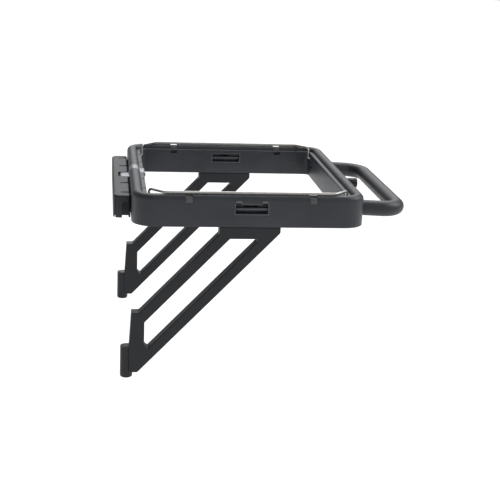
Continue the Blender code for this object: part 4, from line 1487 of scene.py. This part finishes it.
@dataclass
class Braces:
    """The two side braces: a cut-out plate with a barrel at its foot."""

    inset_top: float = 0.0005
    drop: float = 0.2665
    reach: float = 0.255
    slope: float = 0.95
    upright: float = 0.023
    back: float = 0.0325
    upright_top: float = 0.156
    lower_bar: float = 0.025
    upper_bar: float = 0.0265
    web: float = 0.0215
    tip: float = 0.010
    shoulder: float = 0.0075
    bevel: float = 0.006
    edge: float = 0.0015
    flare: float = 0.0035
    barrel_x: float = 0.025
    barrel: float = 0.011
    barrel_round: float = 0.003
    barrel_length: float = 0.058
    barrel_below: float = 0.011
    bush: float = 0.0065
    plate: float = 0.024
    plate_rounds: tuple = (0.0015, 0.006, 0.004, 0.0015, 0.0015, 0.006, 0.004, 0.002, 0.002)
    cut_rounds: tuple = (0.003, 0.003, 0.002, 0.002, 0.003)
    barrel_lip: float = 0.0006

    def outlines(self, bottom: float) -> tuple[Array, Array]:
        """The plate's outline and its cut-out, the diagonals at one slope, run over rise.

        Args:
            bottom: The Z of the ring's underside.

        Returns:
            The outline and the cut-out.
        """
        web_low = bottom - self.web
        top, foot = bottom - self.inset_top, bottom - self.drop
        cap = bottom - self.upright_top
        tip_x = self.back + self.reach
        tip_low = top - self.tip
        lower = tip_x - self.slope * (tip_low - web_low)
        cut_back = self.back + self.upright
        upper = self.back + self.upper_bar / 2 - self.slope * (cap - web_low)
        shoulder = upper + self.shoulder
        outline = rounded([
            (self.back, cap), (upper + self.slope * (cap - web_low), cap),
            (shoulder, web_low + self.shoulder / self.slope), (shoulder, top), (tip_x, top),
            (tip_x, tip_low), (lower + self.slope * (foot - web_low), foot),
            (self.back - self.flare, foot),
            (self.back - self.flare, foot - self.barrel_below + self.barrel_length),
        ], self.plate_rounds)
        cut_lower, cut_upper = lower - self.lower_bar, upper + self.upper_bar
        cut_foot = web_low - (cut_lower - cut_back) / self.slope
        hole = rounded([
            (cut_upper, web_low), (cut_lower, web_low),
            (cut_back + self.bevel, cut_foot + self.bevel / self.slope),
            (cut_back, cut_foot + 2 * self.bevel),
            (cut_back, web_low - (cut_upper - cut_back) / self.slope),
        ], self.cut_rounds)
        return outline, hole

    def barrel_shape(self, spot: Pair, low: float) -> Thing:
        """The barrel with its rounded foot, turned about its own axis.

        Args:
            spot: The barrel's axis in plan.
            low: The Z of its foot.

        Returns:
            The barrel.
        """
        edge, lip, high = self.barrel_round, self.barrel_lip, low + self.barrel_length
        profile = np.vstack(([(0.0, low)],
                             arc((self.barrel - edge, low + edge), edge, -90, 0, 8),
                             arc((self.barrel - lip, high - lip), lip, 0, 90, 3), [(0.0, high)]))
        return turned("barrel", profile, Axis.Z, spot, 56)

    def build(self, ring: RingRail) -> None:
        """Make each brace: plate, barrel and neck joined, then bored and let in for the steel.

        Args:
            ring: The ring that they hold up.
        """
        outline, hole = self.outlines(ring.bottom)
        foot = ring.bottom - self.drop
        low = foot - self.barrel_below
        high = low + self.barrel_length
        for side in Side:
            striker_low, striker_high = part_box(f"{side.label}_striker")
            y = (striker_low.y + striker_high.y) / 2
            half = self.plate / 2
            spot = (self.barrel_x, y)
            brace = frame_plate(f"{side.label}_side_brace", outline, hole, y - half, y + half,
                                Axis.Y, self.edge)
            neck = prism("neck", rectangle((self.barrel_x, y - half / 2),
                                           (self.back + ring.thick, y + half / 2)),
                         foot + ring.thick, high - ring.thick, Axis.Z)
            carve(brace, [self.barrel_shape(spot, low), neck], "UNION")
            top = ring.bottom - self.inset_top
            seat = prism("seat", rectangle((striker_low.x - GAP, striker_low.y - GAP),
                                           (striker_high.x + GAP, striker_high.y + GAP)),
                         striker_low.z - GAP, top + ring.thick, Axis.Z)
            bore = prism("bore", circle(spot, self.bush + GAP), low + 2 * ring.thick,
                         high + ring.thick, Axis.Z)
            carve(brace, [seat, bore])
            brace.modifiers.new("normals", "WEIGHTED_NORMAL").keep_sharp = True
            dress(brace, Finish.BRACE, f"{side.label}_brace_body", f"{side.label}_brace")


@dataclass
class SmallParts:
    """The solids that keep their own shape and only need their finish."""

    def finishes(self) -> dict[str, Finish]:
        """Which finish each kind of kept solid wears, by the end of its name.

        Returns:
            The finish by ending.
        """
        return {
            "_rod": Finish.STEEL, "_plug": Finish.BLOCK, "_pin": Finish.PIN,
            "_bush": Finish.BUSH, "_collar": Finish.BUSH, "_screw": Finish.PIN,
            "_nut": Finish.STEEL, "_spring": Finish.STEEL, "_stud": Finish.STEEL,
            "_striker": Finish.ZINC,
        }

    def build(self) -> None:
        """Dress every solid that nothing has replaced."""
        for name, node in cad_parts.items():
            if node.hide_render:
                continue
            ending = next((e for e in self.finishes() if name.endswith(e)), None)
            if ending is None:
                LOG.warning("%s has no finish", name)
                continue
            node.data.materials.clear()
            node.data.materials.append(self.finishes()[ending].material())
            LOG.info("%s keeps its own shape", name)


@dataclass
class Studio:
    """A pale floor, an even white surround, soft lamps and the camera."""

    floor_drop: float = 0.42
    floor_size: float = 40.0
    surround: float = 0.24
    lens: float = 81.86
    place: Triple = (-0.0181, -2.1076, 0.4772)
    heading: float = 7.697
    dip: float = 15.87
    roll: float = 2.482

    def build(self) -> None:
        """Set up the world, floor, lamps and camera."""
        scene = bpy.context.scene
        scene.view_settings.view_transform = "Standard"
        world = bpy.data.worlds.new("surround")
        world.use_nodes = True
        world.node_tree.nodes["Background"].inputs["Color"].default_value = (1, 1, 1, 1)
        world.node_tree.nodes["Background"].inputs["Strength"].default_value = self.surround
        scene.world = world
        self.floor()
        self.sun("above_behind", (0.1, 0.7, 1.0), 0.9, 2.0)
        self.sun("low_behind", (0.1, 1.0, 0.45), 0.7, 0.35)
        self.sun("right", (1.0, 0.1, 0.8), 0.7, 1.9)
        self.sun("front", (0.4, -1.0, 0.6), 0.9, 0.45)
        self.camera(scene)

    def floor(self) -> None:
        """The floor: one flat sheet well below the carrier."""
        half = self.floor_size / 2
        z = CAD_BOX[0].z - self.floor_drop
        spots = Axis.Z.place(rectangle((-half, -half), (half, half)), z)
        floor = make("studio_floor", spots, [[0, 1, 2, 3]])
        graph = Graph("studio_floor")
        graph.shader.inputs["Base Color"].default_value = (0.95, 0.95, 0.95, 1.0)
        graph.shader.inputs["Roughness"].default_value = 0.9
        floor.data.materials.append(graph.material)

    def sun(self, name: str, towards: Triple, spread: float, power: float) -> None:
        """A very soft sun; towards points from the carrier to the sun.

        Args:
            name: The lamp's name.
            towards: Where it stands, seen from the carrier.
            spread: How wide it is, in radians.
            power: How strong it is.
        """
        light = bpy.data.lights.new(name, "SUN")
        light.energy = power
        light.angle = spread
        lamp = bpy.data.objects.new(name, light)
        lamp.rotation_euler = (-Vector(towards)).to_track_quat("-Z", "Y").to_euler()
        bpy.context.scene.collection.objects.link(lamp)

    def camera(self, scene: bpy.types.Scene) -> None:
        """The camera: rolled, tipped down from level by its dip, then turned to its heading.

        Args:
            scene: The scene that it is the camera of.
        """
        view = bpy.data.cameras.new("camera")
        view.lens = self.lens
        view.sensor_width = 36.0
        view.clip_end = 100.0
        camera = bpy.data.objects.new("camera", view)
        scene.collection.objects.link(camera)
        turn = (Matrix.Rotation(-math.radians(self.heading), 3, "Z")
                @ Matrix.Rotation(math.radians(90.0 - self.dip), 3, "X")
                @ Matrix.Rotation(math.radians(self.roll), 3, "Z"))
        camera.matrix_world = Matrix.Translation(self.place) @ turn.to_4x4()
        scene.camera = camera


def main() -> None:
    """Build the carrier's pieces in order, dress what stays, and set up the studio."""
    logging.basicConfig(level=logging.INFO, format="%(name)s: %(message)s")
    ring, clips, latches, handle, knob = RingRail(), Clips(), Latches(), Handle(), Knob()
    strap = CentreStrap()
    ring.build(clips, latches, handle, knob, strap)
    HingeBlock().build(ring)
    strap.build(ring)
    clips.build(ring)
    latches.build(ring)
    handle.build(ring)
    knob.build()
    Bails().build(ring)
    Braces().build(ring)
    SmallParts().build()
    Studio().build()


if __name__ == "__main__":
    main()
